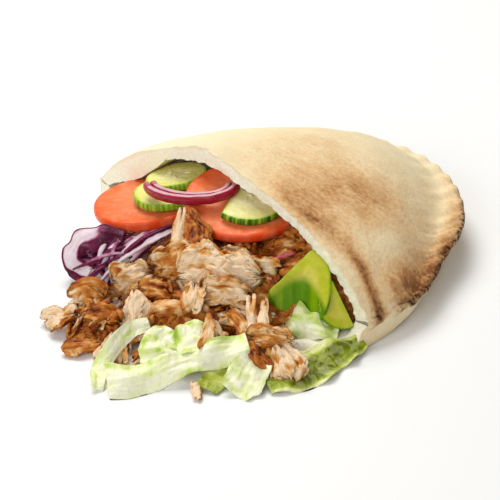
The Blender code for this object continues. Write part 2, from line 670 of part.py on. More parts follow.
def make_meat(vegetables):
    """Shavings of roast meat: a core, the pieces that show and some strewn by rule."""
    heap = make_plug()
    parts = [make_dome("core", (24, -12, 5.0), (48, 34, 22)),
             make_dome("core", (24, -42, -2.0), (33, 30, 20)),
             make_dome("core", (8, -76, -3.0), (18, 18, 12)),
             make_dome("core", (66, -33, -1.0), (17, 15, 15))]
    shavings = [
        # a slab with a pale edge leaning on the tomato, and the pieces right of it
        ([(3, -23, 40), (13, -28, 34), (23, -34, 28)], 13, 4, FRONT_SIDE),
        ([(1, -25, 39), (8, -31, 34), (15, -38, 28)], 6, 3.5, FRONT_SIDE),
        ([(24, -22, 26), (31, -18, 26), (37, -13, 26)], 8, 4, FRONT_SIDE),
        ([(38, -9, 26), (44, -1, 28), (50, 5, 29)], 11, 8, FRONT_SIDE),
        ([(45, 3, 33), (51, 4, 32), (58, 5, 29)], 9, 6, FLAT_SIDE),
        ([(50, -12, 26), (57, -3, 27), (63, 4, 26)], 10, 6, FRONT_SIDE),
        # the large pale slice in the middle, its golden left end and its tongue
        ([(20, -46, 24), (30, -39, 26), (42, -31, 27), (52, -22, 26)], 20, 5, FRONT_SIDE),
        ([(33, -46, 20), (44, -39, 22), (54, -30, 21)], 13, 7, FRONT_SIDE),
        ([(31, -43, 22), (37, -50, 19), (41, -55, 16)], 9, 5, FRONT_SIDE),
        ([(8, -48, 22), (15, -42, 26), (24, -35, 28)], 14, 7, FRONT_SIDE),
        ([(36, -28, 28), (45, -19, 28), (53, -12, 27)], 8, 4, FRONT_SIDE),
        # below it, from the left: a folded piece, a long thin one and a golden roll
        ([(-2, -62, 15), (2, -57, 18), (9, -48, 20)], 13, 8, FRONT_SIDE),
        ([(10, -58, 16), (19, -55, 18), (27, -52, 18)], 9, 7, FRONT_SIDE),
        ([(12, -62, 18), (18, -66, 14), (24, -71, 8), (27, -74, 3)], 13, 3, FRONT_SIDE),
        ([(25, -64, 13), (31, -57, 15), (38, -50, 16), (46, -47, 15)], 9, 8, FRONT_SIDE),
        ([(16, -54, 15), (26, -50, 16), (38, -46, 16)], 8, 5, FRONT_SIDE),
        ([(48, -50, 18), (56, -58, 14.5), (61, -66, 12.5)], 6, 2.5, FRONT_SIDE),
        # the small heap at the far left
        ([(-10, -80, 10), (-5, -74, 13), (3, -71, 12)], 13, 8, FRONT_SIDE),
        ([(6, -84, 8), (12, -79, 11), (19, -75, 11)], 12, 8, FRONT_SIDE),
        ([(7, -100, 2.5), (14, -92, 4), (20, -85, 6)], 8, 4, FLAT_SIDE),
        ([(21, -80, 10), (23, -85, 6), (25, -91, 2)], 6, 3, FRONT_SIDE),
        ([(-16, -92, 4), (-9, -87, 7), (0, -82, 10)], 10, 4, FLAT_SIDE),
        # the small heap at the right, with the slice that hangs over the lettuce
        ([(55, -33, 21), (61, -38, 17), (68, -43, 14)], 5, 4, FRONT_SIDE),
        ([(60, -29, 21), (65, -35, 17), (71, -40, 14)], 5, 4, FRONT_SIDE),
        ([(66, -46, 13), (74, -40, 13.5), (81, -33, 12)], 11, 7, FRONT_SIDE),
        ([(78, -39, 13), (86, -42, 8), (93, -45, 3.5)], 15, 3.5, (0.5, -0.5, 0.7)),
        ([(50, -42, 17), (59, -44, 16), (68, -48, 13.6)], 6, 4, FRONT_SIDE)]
    for k, (path, width, thickness, face) in enumerate(shavings):
        points, faces = strip_mesh(path, width, thickness, face, SHAVING_STATIONS,
                                   random.Random(60 + k), 0.22)
        parts.append(add_solid("shaving", points, faces))
    rng = random.Random(23)
    strewn = 0
    while strewn < STREWN_SHAVINGS:
        x = rng.uniform(-4.0, 66.0)
        y = rng.uniform(-84.0, -8.0)
        if abs(x - 28.0) > 34.0 + 0.35 * (y + 40.0) or x > 78.0 + 0.7 * y + 20.0:
            continue
        z = slope_height(x, y) - 1.0
        turn = rng.uniform(0.0, math.pi)
        reach = rng.uniform(6.0, 11.0)
        step = np.array([math.cos(turn), math.sin(turn), 0.3 * math.sin(turn)]) * reach
        middle = np.array([x, y, z + rng.uniform(0.5, 2.5)])
        face = unit((rng.uniform(-0.3, 0.3), -0.45, 0.85))
        path = [middle - step + (0, 0, -2.0), middle, middle + step + (0, 0, -2.0)]
        points, faces = strip_mesh(path, rng.uniform(5.0, 10.0), rng.uniform(3.0, 5.0), face,
                                   3, rng, 0.25)
        parts.append(add_solid("shaving", points, faces))
        strewn += 1
    combine(heap, parts, "UNION")
    cut_at_table(heap)
    trim(heap, vegetables, GAP, HEAP_WELDS)
    paint(heap, "roast_meat", (0.52, 0.25, 0.10), 0.5)
    return heap


def cut_at_table(obj):
    """Remove whatever dips below z = 0."""
    low, far = -30.0, 160.0
    corners = [(x, y, z) for z in (low, 0.0) for y in (-far, far) for x in (-far, far)]
    faces = [(0, 2, 3, 1), (4, 5, 7, 6), (0, 1, 5, 4), (2, 6, 7, 3), (0, 4, 6, 2), (1, 3, 7, 5)]
    combine(obj, [add_solid("table", corners, faces)], "DIFFERENCE")


clear_scene()
bread = make_bread()
tomatoes = make_tomatoes()
cucumbers = make_cucumbers()
onions = make_onions()
lettuce = make_lettuce()
cabbage = make_cabbage()
trim(cucumbers[2], [onions[0]])
strand = make_strip("meat_strand_front", [(66, -75, 1.8), (70, -77, 1.8), (74, -79.5, 1.3)],
                    5.0, 2.2, (0.0, -0.2, 0.98), 4)
paint(strand, "strand_meat", (0.62, 0.38, 0.18), 0.5)
for k, leaf in enumerate(lettuce):
    trim(leaf, [bread] + cucumbers[3:] + lettuce[:k])
    cut_at_table(leaf)
trim(cabbage, [bread, tomatoes[1]])
cut_at_table(cabbage)
vegetables = [bread] + tomatoes + cucumbers + onions + lettuce + [cabbage, strand]
make_meat(vegetables)
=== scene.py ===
"""Looks of the doner kebab sandwich: a half pita pocket on its side, spilling its filling.

Places and sizes are in millimetres until a mesh is made. X runs along the mouth,
Y into the pocket and Z up, and every finished mesh is shifted by the same footprint
centre as the solids that it stands for.
"""
import math
import random

import bmesh
import bpy
import numpy as np
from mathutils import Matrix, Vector, noise


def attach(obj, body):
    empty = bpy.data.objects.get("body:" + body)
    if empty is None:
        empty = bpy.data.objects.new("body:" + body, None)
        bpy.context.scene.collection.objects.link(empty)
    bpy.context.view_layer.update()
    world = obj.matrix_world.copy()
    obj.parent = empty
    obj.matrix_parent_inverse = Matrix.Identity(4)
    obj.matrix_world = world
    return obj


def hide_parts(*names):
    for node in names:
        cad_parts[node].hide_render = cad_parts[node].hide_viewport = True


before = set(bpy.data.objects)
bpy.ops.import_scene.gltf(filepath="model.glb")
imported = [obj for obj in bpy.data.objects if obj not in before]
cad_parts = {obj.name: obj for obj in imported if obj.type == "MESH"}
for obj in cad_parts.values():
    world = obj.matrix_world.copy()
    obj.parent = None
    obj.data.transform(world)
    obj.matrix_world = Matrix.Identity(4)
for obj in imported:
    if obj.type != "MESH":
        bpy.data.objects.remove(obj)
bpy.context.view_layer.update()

MM = 0.001
FOOTPRINT_CENTRE = (1.9, 10.0, 0.0)

# BREAD
# Half a pita, cut a little beyond its middle and opened into a pocket. The dough is
# baked flat on stone, so the blisters are toasted, the valleys stay pale and the rim,
# pressed and crimped, is scorched where it lay nearest to the fire.
PITA_RADIUS = 95.0
PITA_CENTRE_Y = 22.0
CRUST = 7.0
SEAM_LOW = 10.0
SEAM_RISE = 10.0
LIP_RISE = 42.5
LIP_THICKNESS = 5.0
LIP_PEAK = 4.8
PEAK_PLACE = -0.13
PEAK_WIDTH = 0.2
LEFT_LIP = 8.2
LEFT_LIP_START = 0.45
LEFT_SLOPE = 0.35
LEFT_FALL = 0.6
DOME_POWER = 0.6
BULGE = 9.5
BULGE_ANGLE = 80.0
BULGE_SPREAD = 36.0
DENT = 4.0
DENT_ANGLE = 25.0
DENT_SPREAD = 12.0
PRESSED = 10.0
PRESSED_ANGLE = 44.0
PRESSED_SPREAD = 24.0
SOFT_ANGLE = 42.0
SOFT_SPREAD = 36.0
FLAP_REACH = 38.0
FLAP_LIFT = 2.5
FLOOR_THICKNESS = 4.5
FLANGE = 6.0
EDGE_ROUND = 1.6
CRIMP_DEPTH = 0.8
CRIMP_REACH = 20.0
BREAD_COLUMNS = 320


def relief(points, size, octaves=3, shift=0.0):
    """Smooth random heights of about -1 to 1 over points in millimetres."""
    offset = Vector((shift, 1.7 * shift, -0.6 * shift))
    return np.array([noise.fractal(Vector(p) / size + offset, 1.0, 2.0, octaves)
                     for p in points])


def uneven(*place):
    """A smooth random value of about -1 to 1 at one place."""
    return noise.noise(Vector(place))


def step(value, low, high):
    """0 below low, 1 above high and a soft change between them."""
    t = np.clip((np.asarray(value, float) - low) / (high - low), 0.0, 1.0)
    return t * t * (3.0 - 2.0 * t)


def bell(value, middle, spread):
    """1 at the middle, falling off smoothly on both sides."""
    return np.exp(-((value - middle) / spread) ** 2)


def in_frame(places):
    """Millimetres of this drawing as metres from the footprint centre."""
    return (np.asarray(places, float) - FOOTPRINT_CENTRE) * MM


def set_mark(mesh, name, values):
    layer = mesh.attributes.new(name, "FLOAT", "POINT")
    layer.data.foreach_set("value", np.asarray(values, dtype=np.float32))


def link_object(name, mesh):
    made = bpy.data.objects.new(name, mesh)
    bpy.context.scene.collection.objects.link(made)
    return made


def make_piece(name, points, faces, material, crease=None, lowest=None, **marks):
    """A closed, smooth mesh with its faces outward and its marks kept as attributes."""
    points = np.array(points, float)
    if lowest is not None:
        points[:, 2] = np.maximum(points[:, 2], lowest)
    mesh = bpy.data.meshes.new(name)
    mesh.from_pydata(in_frame(points).tolist(), [], faces)
    for key, values in marks.items():
        set_mark(mesh, key, values)
    bm = bmesh.new()
    bm.from_mesh(mesh)
    bmesh.ops.remove_doubles(bm, verts=bm.verts, dist=0.001 * MM)
    bmesh.ops.dissolve_degenerate(bm, edges=bm.edges, dist=0.001 * MM)
    bmesh.ops.recalc_face_normals(bm, faces=bm.faces)
    bm.to_mesh(mesh)
    bm.free()
    mesh.shade_smooth()
    if crease:
        mesh.set_sharp_from_angle(angle=math.radians(crease))
    mesh.materials.append(material)
    return link_object(name, mesh)


def tube_faces(rings, around):
    """Faces between neighbouring closed rings of points."""
    faces = []
    for a in range(0, rings * around, around):
        b = a + around
        for j in range(around):
            k = (j + 1) % around
            faces.append((a + j, b + j, b + k, a + k))
    return faces


def dress(piece, slot, *nodes):
    """Tie a finished piece to the frame."""
    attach(piece, "root")
    if nodes:
        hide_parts(*nodes)


def rim_angle(tau, radius):
    reach = math.asin(PITA_CENTRE_Y / radius)
    return -reach + tau / math.pi * (math.pi + 2.0 * reach)


def rim_growth(angle):
    """How much further than a true circle the rim reaches, by its angle in degrees."""
    return BULGE * bell(angle, BULGE_ANGLE, BULGE_SPREAD) - DENT * bell(angle, DENT_ANGLE, DENT_SPREAD)


def rim_point(tau, radius):
    theta = rim_angle(tau, radius)
    radius += rim_growth(math.degrees(theta))
    return np.array([radius * math.cos(theta), PITA_CENTRE_Y + radius * math.sin(theta)])


def mouth_half(radius):
    return math.sqrt(radius * radius - PITA_CENTRE_Y * PITA_CENTRE_Y)


def upper_lip(tau, radius):
    return np.array([mouth_half(radius) * math.cos(tau), 0.0])


def lower_lip(tau, radius, reach):
    power = 0.5 if math.cos(tau) > 0.0 else 0.5 - 2.5 * math.cos(tau)
    return np.array([mouth_half(radius) * math.cos(tau), -reach * math.sin(tau) ** power])


def seam_height(tau):
    return SEAM_LOW + SEAM_RISE * math.sin(tau) ** 1.2


def lip_height(tau, rise):
    power = 1.3 + LEFT_SLOPE * max(0.0, -math.cos(tau))
    return SEAM_LOW + rise * math.sin(tau) ** power


def dome_fall(tau, v, softer=0.0):
    """Height of the dome between rim and lip, from 0 to 1; it falls sooner on the left."""
    left = min(max((-0.02 - math.cos(tau)) / 0.5, 0.0), 1.0)
    return (1.0 - v * v) ** (DOME_POWER + LEFT_FALL * left + softer * v ** 3)


def lip_peak(tau, v):
    return LIP_PEAK * bell(math.cos(tau), PEAK_PLACE, PEAK_WIDTH) * (1.0 - v) ** 3


def left_thickening(tau):
    along = (-math.cos(tau) - LEFT_LIP_START) / (1.0 - LEFT_LIP_START)
    return LEFT_LIP * math.sin(math.pi * along) if 0.0 < along < 1.0 else 0.0


def pressed(tau):
    """Extra width of the flat edge, where both layers were pressed together."""
    return PRESSED * bell(math.degrees(rim_angle(tau, PITA_RADIUS)), PRESSED_ANGLE, PRESSED_SPREAD)


def edge_round(depth):
    t = min(depth / EDGE_ROUND, 1.0)
    return EDGE_ROUND * math.sqrt(1.0 - (1.0 - t) ** 2)


def crimp(tau, depth):
    """Ridges pressed into the edge, uneven as fingers leave them."""
    fade = max(0.0, 1.0 - depth / (CRIMP_REACH + 1.5 * pressed(tau)))
    broad = math.cos(56.0 * tau + 1.5 * math.sin(5.0 * tau))
    narrow = math.cos(118.0 * tau + 4.0 * math.sin(9.0 * tau))
    narrow *= 0.05 * pressed(tau) * (0.6 + 0.4 * math.sin(31.0 * tau)) * min(depth / 4.0, 1.0)
    return (CRIMP_DEPTH * broad + narrow) * fade


def softness(tau):
    """How gently the dome runs out into the rim, most beside the widest part of the edge."""
    return bell(math.degrees(rim_angle(tau, PITA_RADIUS)), SOFT_ANGLE, SOFT_SPREAD)


def flap_bend(v):
    return max(0.0, 1.0 - 2.2 * v) ** 2


def crust_top(tau, v):
    lip, rim = upper_lip(tau, PITA_RADIUS), rim_point(tau, PITA_RADIUS)
    length = np.linalg.norm(rim - lip)
    depth = (1.0 - v) * length
    bulge = max(0.0, lip_height(tau, LIP_RISE) - seam_height(tau) - EDGE_ROUND)
    along = min(v / max(1.0 - (FLANGE + pressed(tau)) / length, 0.2), 1.0)
    z = seam_height(tau) + edge_round(depth) + bulge * dome_fall(tau, along, softness(tau))
    x, y = lip + (rim - lip) * v
    return x, y, z + crimp(tau, depth) + lip_peak(tau, v)


def crust_bottom(tau, v):
    lip, rim = lower_lip(tau, PITA_RADIUS, FLAP_REACH), rim_point(tau, PITA_RADIUS)
    depth = (1.0 - v) * np.linalg.norm(rim - lip)
    t = min(max((depth - FLANGE) / (12.0 + 20.0 * math.sin(tau)), 0.0), 1.0)
    base = FLAP_LIFT * flap_bend(v) * math.sin(tau)
    z = seam_height(tau) - edge_round(depth)
    z -= (z - base) * math.sqrt(1.0 - (1.0 - t) ** 2)
    x, y = lip + (rim - lip) * v
    return x, y, z + crimp(tau, depth) * (1.0 - t)


def hollow_top(tau, v):
    radius = PITA_RADIUS - CRUST
    lip, rim = upper_lip(tau, radius), rim_point(tau, radius)
    along = min(v / max(1.0 - pressed(tau) / np.linalg.norm(rim - lip), 0.2), 1.0)
    rise = lip_height(tau, LIP_RISE - LIP_THICKNESS) - left_thickening(tau) - seam_height(tau)
    x, y = lip + (rim - lip) * v
    z = seam_height(tau) + max(rise, 0.3) * dome_fall(tau, along, 1.4 * softness(tau))
    return x, y, z + 0.5 * lip_peak(tau, v)


def hollow_bottom(tau, v):
    radius = PITA_RADIUS - CRUST
    lip, rim = lower_lip(tau, radius, FLAP_REACH - 1.0), rim_point(tau, radius)
    depth = (1.0 - v) * np.linalg.norm(rim - lip)
    t = min(depth / (8.0 + 18.0 * math.sin(tau)), 1.0)
    base = FLOOR_THICKNESS + FLAP_LIFT * flap_bend(v) * math.sin(tau)
    z = seam_height(tau) - (seam_height(tau) - base) * math.sqrt(1.0 - (1.0 - t) ** 2)
    x, y = lip + (rim - lip) * v
    return x, y, z


def bread_section(tau):
    """One loop through the bread: over the top, under it, and back through the hollow.

    Each entry is a point, 1 for crumb or 0 for crust, and how far round the skin it lies.
    """
    top_rows = 1.0 - (1.0 - np.linspace(0.0, 1.0, 52)) ** 1.25
    under_rows = (1.0 - np.linspace(0.0, 1.0, 34) ** 1.3)[1:]
    loop = [(crust_top(tau, v), 0.0, v) for v in top_rows]
    loop += [(crust_bottom(tau, v), 0.0, 2.0 - v) for v in under_rows]
    outer, inner = np.array(crust_bottom(tau, 0.0)), np.array(hollow_bottom(tau, 0.0))
    loop += [(outer + (inner - outer) * t, 1.0, 2.0) for t in (0.2, 0.4, 0.6, 0.8)]
    loop += [(hollow_bottom(tau, v), 1.0, 2.5) for v in np.linspace(0.0, 1.0, 18)]
    loop += [(hollow_top(tau, v), 1.0, 2.5) for v in np.linspace(1.0, 0.0, 22)[1:]]
    outer, inner = np.array(crust_top(tau, 0.0)), np.array(hollow_top(tau, 0.0))
    return loop + [(inner + (outer - inner) * t, 1.0, 0.0) for t in (0.2, 0.4, 0.6, 0.8)]


def spot(x, y, centre, reach):
    """A soft round or oval mark."""
    return np.exp(-((x - centre[0]) / reach[0]) ** 2 - ((y - centre[1]) / reach[1]) ** 2)


def from_centre(x, y):
    """Distance and angle from the middle of the round, and where the rim lies there."""
    angle = np.degrees(np.arctan2(y - PITA_CENTRE_Y, x))
    return np.hypot(x, y - PITA_CENTRE_Y), angle, PITA_RADIUS + rim_growth(angle)


def toasted(x, y, side):
    """How brown the crust is, from 0 to 1: broad toasting, a streak and a scorched rim."""
    radius, angle, rim = from_centre(x, y)
    toast = 0.10 + 0.06 * step(x, 10, 50)
    for amount, centre, reach in ((0.36, (38, 20), (30, 17)), (0.20, (10, 50), (40, 30)),
                                  (0.36, (50, 40), (19, 15)), (0.10, (56, 62), (20, 18)),
                                  (-0.20, (80, 32), (12, 10))):
        toast += amount * spot(x, y, centre, reach)
    middle = 8.5 + 2.0 * np.sin(x / 9.0)
    toast += 0.55 * bell(y, middle, 7.5 - 4.5 * step(x, 50, 86)) * step(x, 14, 46)
    toast += 0.22 * bell(y, middle, 2.6) * step(x, 62, 84)
    toast += 0.75 * spot(angle, radius, (7, 88), (13, 8))
    toast += 0.30 * spot(angle, radius, (30, 92), (14, 5))
    toast += 0.36 * step(angle, -6, 8) * (1.0 - step(angle, 45, 80)) * step(radius - rim, -11, -1)
    upper = 1.0 - step(side, 0.98, 1.02)
    toast *= (1.0 - 0.85 * step(-x, -5, 45)) * upper
    return np.clip(toast + 0.17 * (1.0 - upper), 0.0, 1.0)


def scorched(x, y, side):
    """The dark line along the rim's right edge, and a mark where the streak ends."""
    radius, angle, rim = from_centre(x, y)
    around = step(angle, -7, 2) * (1.0 - step(angle, 50, 74))
    line = 0.9 * step(radius - rim, -3.6, -0.6) * around * (1.0 - step(side, 1.0, 1.02))
    end = 0.9 * spot(x, y, (92.5, 6.5), (2.2, 3.0)) * (1.0 - step(side, 1.0, 1.03))
    return np.clip(line + end, 0.0, 1.0)


def make_bread():
    sections = [bread_section(tau)
                for tau in np.linspace(1e-6, math.pi - 1e-6, BREAD_COLUMNS + 1)]
    places, crumb, side = zip(*(entry for section in sections for entry in section))
    points, crumb, side = np.array(places, float), np.array(crumb), np.array(side)
    x, y, z = points.T.copy()
    swell, small = relief(points, 34.0, 3, 2.0), relief(points, 9.0, 3, 5.0)
    torn = relief(points, 2.6, 2, 9.0)
    # Blisters lift the top skin; the underside lies flat on the table.
    upper = (side < 1.0) & (crumb == 0)
    lift = np.where(upper, 0.9 * swell + 0.35 * small, 0.0)
    points[:, 2] += lift * (1.0 - step(from_centre(x, y)[0], 84, 95)) * step(z, 12, 22)
    near_lip = np.exp(-np.abs(y) / 4.0) * (points[:, 2] > 12)
    points[:, 1] += near_lip * (0.7 * torn + 0.7 * small)
    points[:, 2] += near_lip * 0.35 * torn
    points[:, 1] += np.where((side == 2.0) & (crumb == 1.0), 0.5 * torn, 0.0)
    x, y, z = points.T
    return make_piece("pita_bread_crust", points, tube_faces(BREAD_COLUMNS, len(sections[0])),
                      crust_material(), crease=48, crumb=crumb,
                      toast=toasted(x, y, side) * (1.0 - crumb),
                      scorch=scorched(x, y, side) * (1.0 - crumb))


def shader_nodes(name, roughness, specular=0.5, subsurface=0.0, radius=(1.0, 0.4, 0.2)):
    """A new material with its Principled shader, ready for colour, roughness and relief."""
    material = bpy.data.materials.new(name)
    material.use_nodes = True
    shader = material.node_tree.nodes["Principled BSDF"]
    for key, value in (("Roughness", roughness), ("Specular IOR Level", specular),
                       ("Subsurface Weight", subsurface), ("Subsurface Radius", radius),
                       ("Subsurface Scale", 0.004)):
        shader.inputs[key].default_value = value
    return material, material.node_tree, shader


def put(tree, kind, inputs, output=0, **settings):
    """A new node with its settings and its inputs, values or sockets; gives one output."""
    node = tree.nodes.new(kind)
    for key, value in settings.items():
        setattr(node, key, value)
    for key, value in inputs.items():
        socket = node.inputs[key]
        if isinstance(value, bpy.types.NodeSocket):
            tree.links.new(value, socket)
        elif isinstance(value, tuple):
            socket.default_value = (*value, 1.0)[:len(socket.default_value)]
        else:
            socket.default_value = value
    return node.outputs[output]


def mottle_group():
    """Shared noise: a mask of soft spots, used by every food surface here."""
    group = bpy.data.node_groups.new("food_mottle", "ShaderNodeTree")
    group.interface.new_socket("Vector", in_out="INPUT", socket_type="NodeSocketVector")
    for label in ("Scale", "Detail", "Warp", "Low", "High"):
        group.interface.new_socket(label, in_out="INPUT", socket_type="NodeSocketFloat")
    group.interface.new_socket("Mask", in_out="OUTPUT", socket_type="NodeSocketFloat")
    given = group.nodes.new("NodeGroupInput").outputs
    waves = put(group, "ShaderNodeTexNoise", {"Vector": given["Vector"], "Scale": given["Scale"],
                                              "Detail": given["Detail"],
                                              "Distortion": given["Warp"]}, "Fac")
    mask = put(group, "ShaderNodeMapRange", {"Value": waves, "From Min": given["Low"],
                                             "From Max": given["High"]}, "Result",
               interpolation_type="SMOOTHSTEP")
    group.links.new(mask, group.nodes.new("NodeGroupOutput").inputs["Mask"])
    return group


MOTTLE = mottle_group()


def mottle(tree, vector, scale, low=0.4, high=0.6, detail=4.0, warp=0.3):
    return put(tree, "ShaderNodeGroup", {"Vector": vector, "Scale": scale, "Detail": detail,
                                         "Warp": warp, "Low": low, "High": high},
               node_tree=MOTTLE)


def object_place(tree, stretch=(1.0, 1.0, 1.0), turn=(0.0, 0.0, 0.0)):
    """Object coordinates, stretched and turned for a pattern."""
    place = put(tree, "ShaderNodeTexCoord", {}, "Object")
    return put(tree, "ShaderNodeMapping", {"Vector": place, "Scale": stretch, "Rotation": turn})


def mark(tree, name):
    return put(tree, "ShaderNodeAttribute", {}, "Fac", attribute_name=name)


def blend_colour(tree, amount, first, second):
    return put(tree, "ShaderNodeMix", {0: amount, 6: first, 7: second}, 2, data_type="RGBA")


def times(tree, value, factor, plus=0.0, clamp=False):
    """value x factor + plus, each a number or a socket."""
    return put(tree, "ShaderNodeMath", {0: value, 1: factor, 2: plus},
               operation="MULTIPLY_ADD", use_clamp=clamp)


def toned(tree, name, less, pattern, amount):
    """A mark of the mesh, lowered a little and stirred with a pattern, from 0 to 1."""
    return times(tree, pattern, amount, times(tree, mark(tree, name), 1.0, -less), True)


def colour_ramp(tree, amount, *stops):
    node = tree.nodes.new("ShaderNodeValToRGB")
    tree.links.new(amount, node.inputs[0])
    ramp = node.color_ramp
    for element, (place, colour) in zip(ramp.elements, (stops[0], stops[-1])):
        element.position, element.color = place, (*colour, 1.0)
    for place, colour in stops[1:-1]:
        ramp.elements.new(place).color = (*colour, 1.0)
    return node.outputs["Color"]


def cover(tree, shader, colour, roughness, height, strength, distance_mm):
    """Give a shader its colour, its roughness and its fine relief."""
    normal = put(tree, "ShaderNodeBump", {"Strength": strength, "Distance": distance_mm * MM,
                                          "Height": height}, "Normal")
    for key, value in (("Base Color", colour), ("Roughness", roughness), ("Normal", normal)):
        tree.links.new(value, shader.inputs[key])


def crust_material():
    """Floury baked crust, toasted in blotches, over a pale open crumb."""
    material, tree, shader = shader_nodes("pita_crust", 0.8, 0.1, 0.05, (0.9, 0.6, 0.35))
    place = object_place(tree)
    streaky = object_place(tree, (1.0, 1.8, 1.0), (0.0, 0.0, 0.5))
    broad = mottle(tree, streaky, 42.0, 0.30, 0.72, 7.0, 0.9)
    grain = mottle(tree, streaky, 210.0, 0.30, 0.74, 6.0, 0.5)
    fine = mottle(tree, place, 520.0, 0.35, 0.7, 5.0, 0.2)
    pits = mottle(tree, place, 1100.0, 0.42, 0.66, 3.0, 0.0)
    toast = mark(tree, "toast")
    level = times(tree, toast, times(tree, broad, 0.44, 0.68))
    for pattern, middle, least, amount in ((grain, 0.45, 0.1, 0.10), (fine, 0.4, 0.15, 0.22)):
        patches = times(tree, times(tree, pattern, 1.0, -middle), times(tree, toast, 1.0, least))
        level = times(tree, patches, amount, level, True)
    colour = colour_ramp(tree, level, (0.0, (0.89, 0.79, 0.55)), (0.18, (0.86, 0.69, 0.42)),
                         (0.42, (0.74, 0.475, 0.235)), (0.70, (0.52, 0.27, 0.105)),
                         (1.0, (0.27, 0.105, 0.036)))
    burnt = times(tree, mark(tree, "scorch"), times(tree, fine, 0.9, 0.35), 0.0, True)
    colour = blend_colour(tree, burnt, colour, (0.045, 0.016, 0.007))
    open_crumb = colour_ramp(tree, pits, (0.0, (0.94, 0.86, 0.64)), (0.35, (0.97, 0.93, 0.76)),
                             (1.0, (0.98, 0.95, 0.81)))
    colour = blend_colour(tree, mark(tree, "crumb"), colour, open_crumb)
    cover(tree, shader, colour, times(tree, fine, 0.16, 0.68),
          times(tree, fine, 0.6, times(tree, pits, 0.4)), 0.45, 0.35)
    return material


bread = make_bread()
dress(bread, "pita_crust", "pita_bread")

# MEAT
# Meat shaved from a turning spit: thin torn slices, seared golden to dark brown on the
# side that faced the fire and pale and fibrous inside. They lie in a loose heap on
# dark scraps, darkened further as painted shade, from deep inside the pocket down to the table.
FRONT_SIDE = (0.63, -0.59, 0.50)
FLAT_SIDE = (0.2, -0.35, 0.92)
MEAT_LOWEST = 0.15
LEFT_HEAP = (4.0, -78.0)
SLOPE_MIDDLE = 28.0


def unit(vector):
    vector = np.asarray(vector, float)
    return vector / np.linalg.norm(vector)


def curve_between(a, b, c, d, f):
    """A point between b and c on the smooth curve through four points."""
    return 0.5 * (2 * b + (c - a) * f + (2 * a - 5 * b + 4 * c - d) * f ** 2
                  + (3 * b - a - 3 * c + d) * f ** 3)


def spline(points, t):
    """A smooth curve through the points, with t from 0 to 1."""
    points = [np.asarray(p, float) for p in points]
    ends = [2 * points[0] - points[1]] + points + [2 * points[-1] - points[-2]]
    place = min(max(t, 0.0), 1.0) * (len(points) - 1)
    i = min(int(place), len(points) - 2)
    return curve_between(*ends[i:i + 4], place - i)


def spline_frame(points, t, face):
    along = unit(spline(points, t + 0.01) - spline(points, t - 0.01))
    across = unit(np.cross(face, along))
    return spline(points, t), across, unit(np.cross(along, across))


def sheet_faces(stations, ribs, split=False):
    """Faces of a thin sheet: two skins and the wall round them; split makes triangles."""
    rows = ribs + 1
    below = (stations + 1) * rows
    faces = []
    for a in (i * rows + j for i in range(stations) for j in range(ribs)):
        skin = (a, a + rows, a + rows + 1, a + 1)
        for face in ((skin[:3], (skin[0], *skin[2:])) if split else (skin,)):
            faces += [face, tuple(below + k for k in face[:1] + face[:0:-1])]
    border = ([i * rows for i in range(stations + 1)]
              + [stations * rows + j for j in range(1, rows)]
              + [i * rows + ribs for i in range(stations - 1, -1, -1)]
              + list(range(ribs - 1, 0, -1)))
    for a, b in zip(border, border[1:] + border[:1]):
        wall = (a, below + a, below + b, b)
        faces += [wall[:3], (wall[0], *wall[2:])] if split else [wall]
    return faces


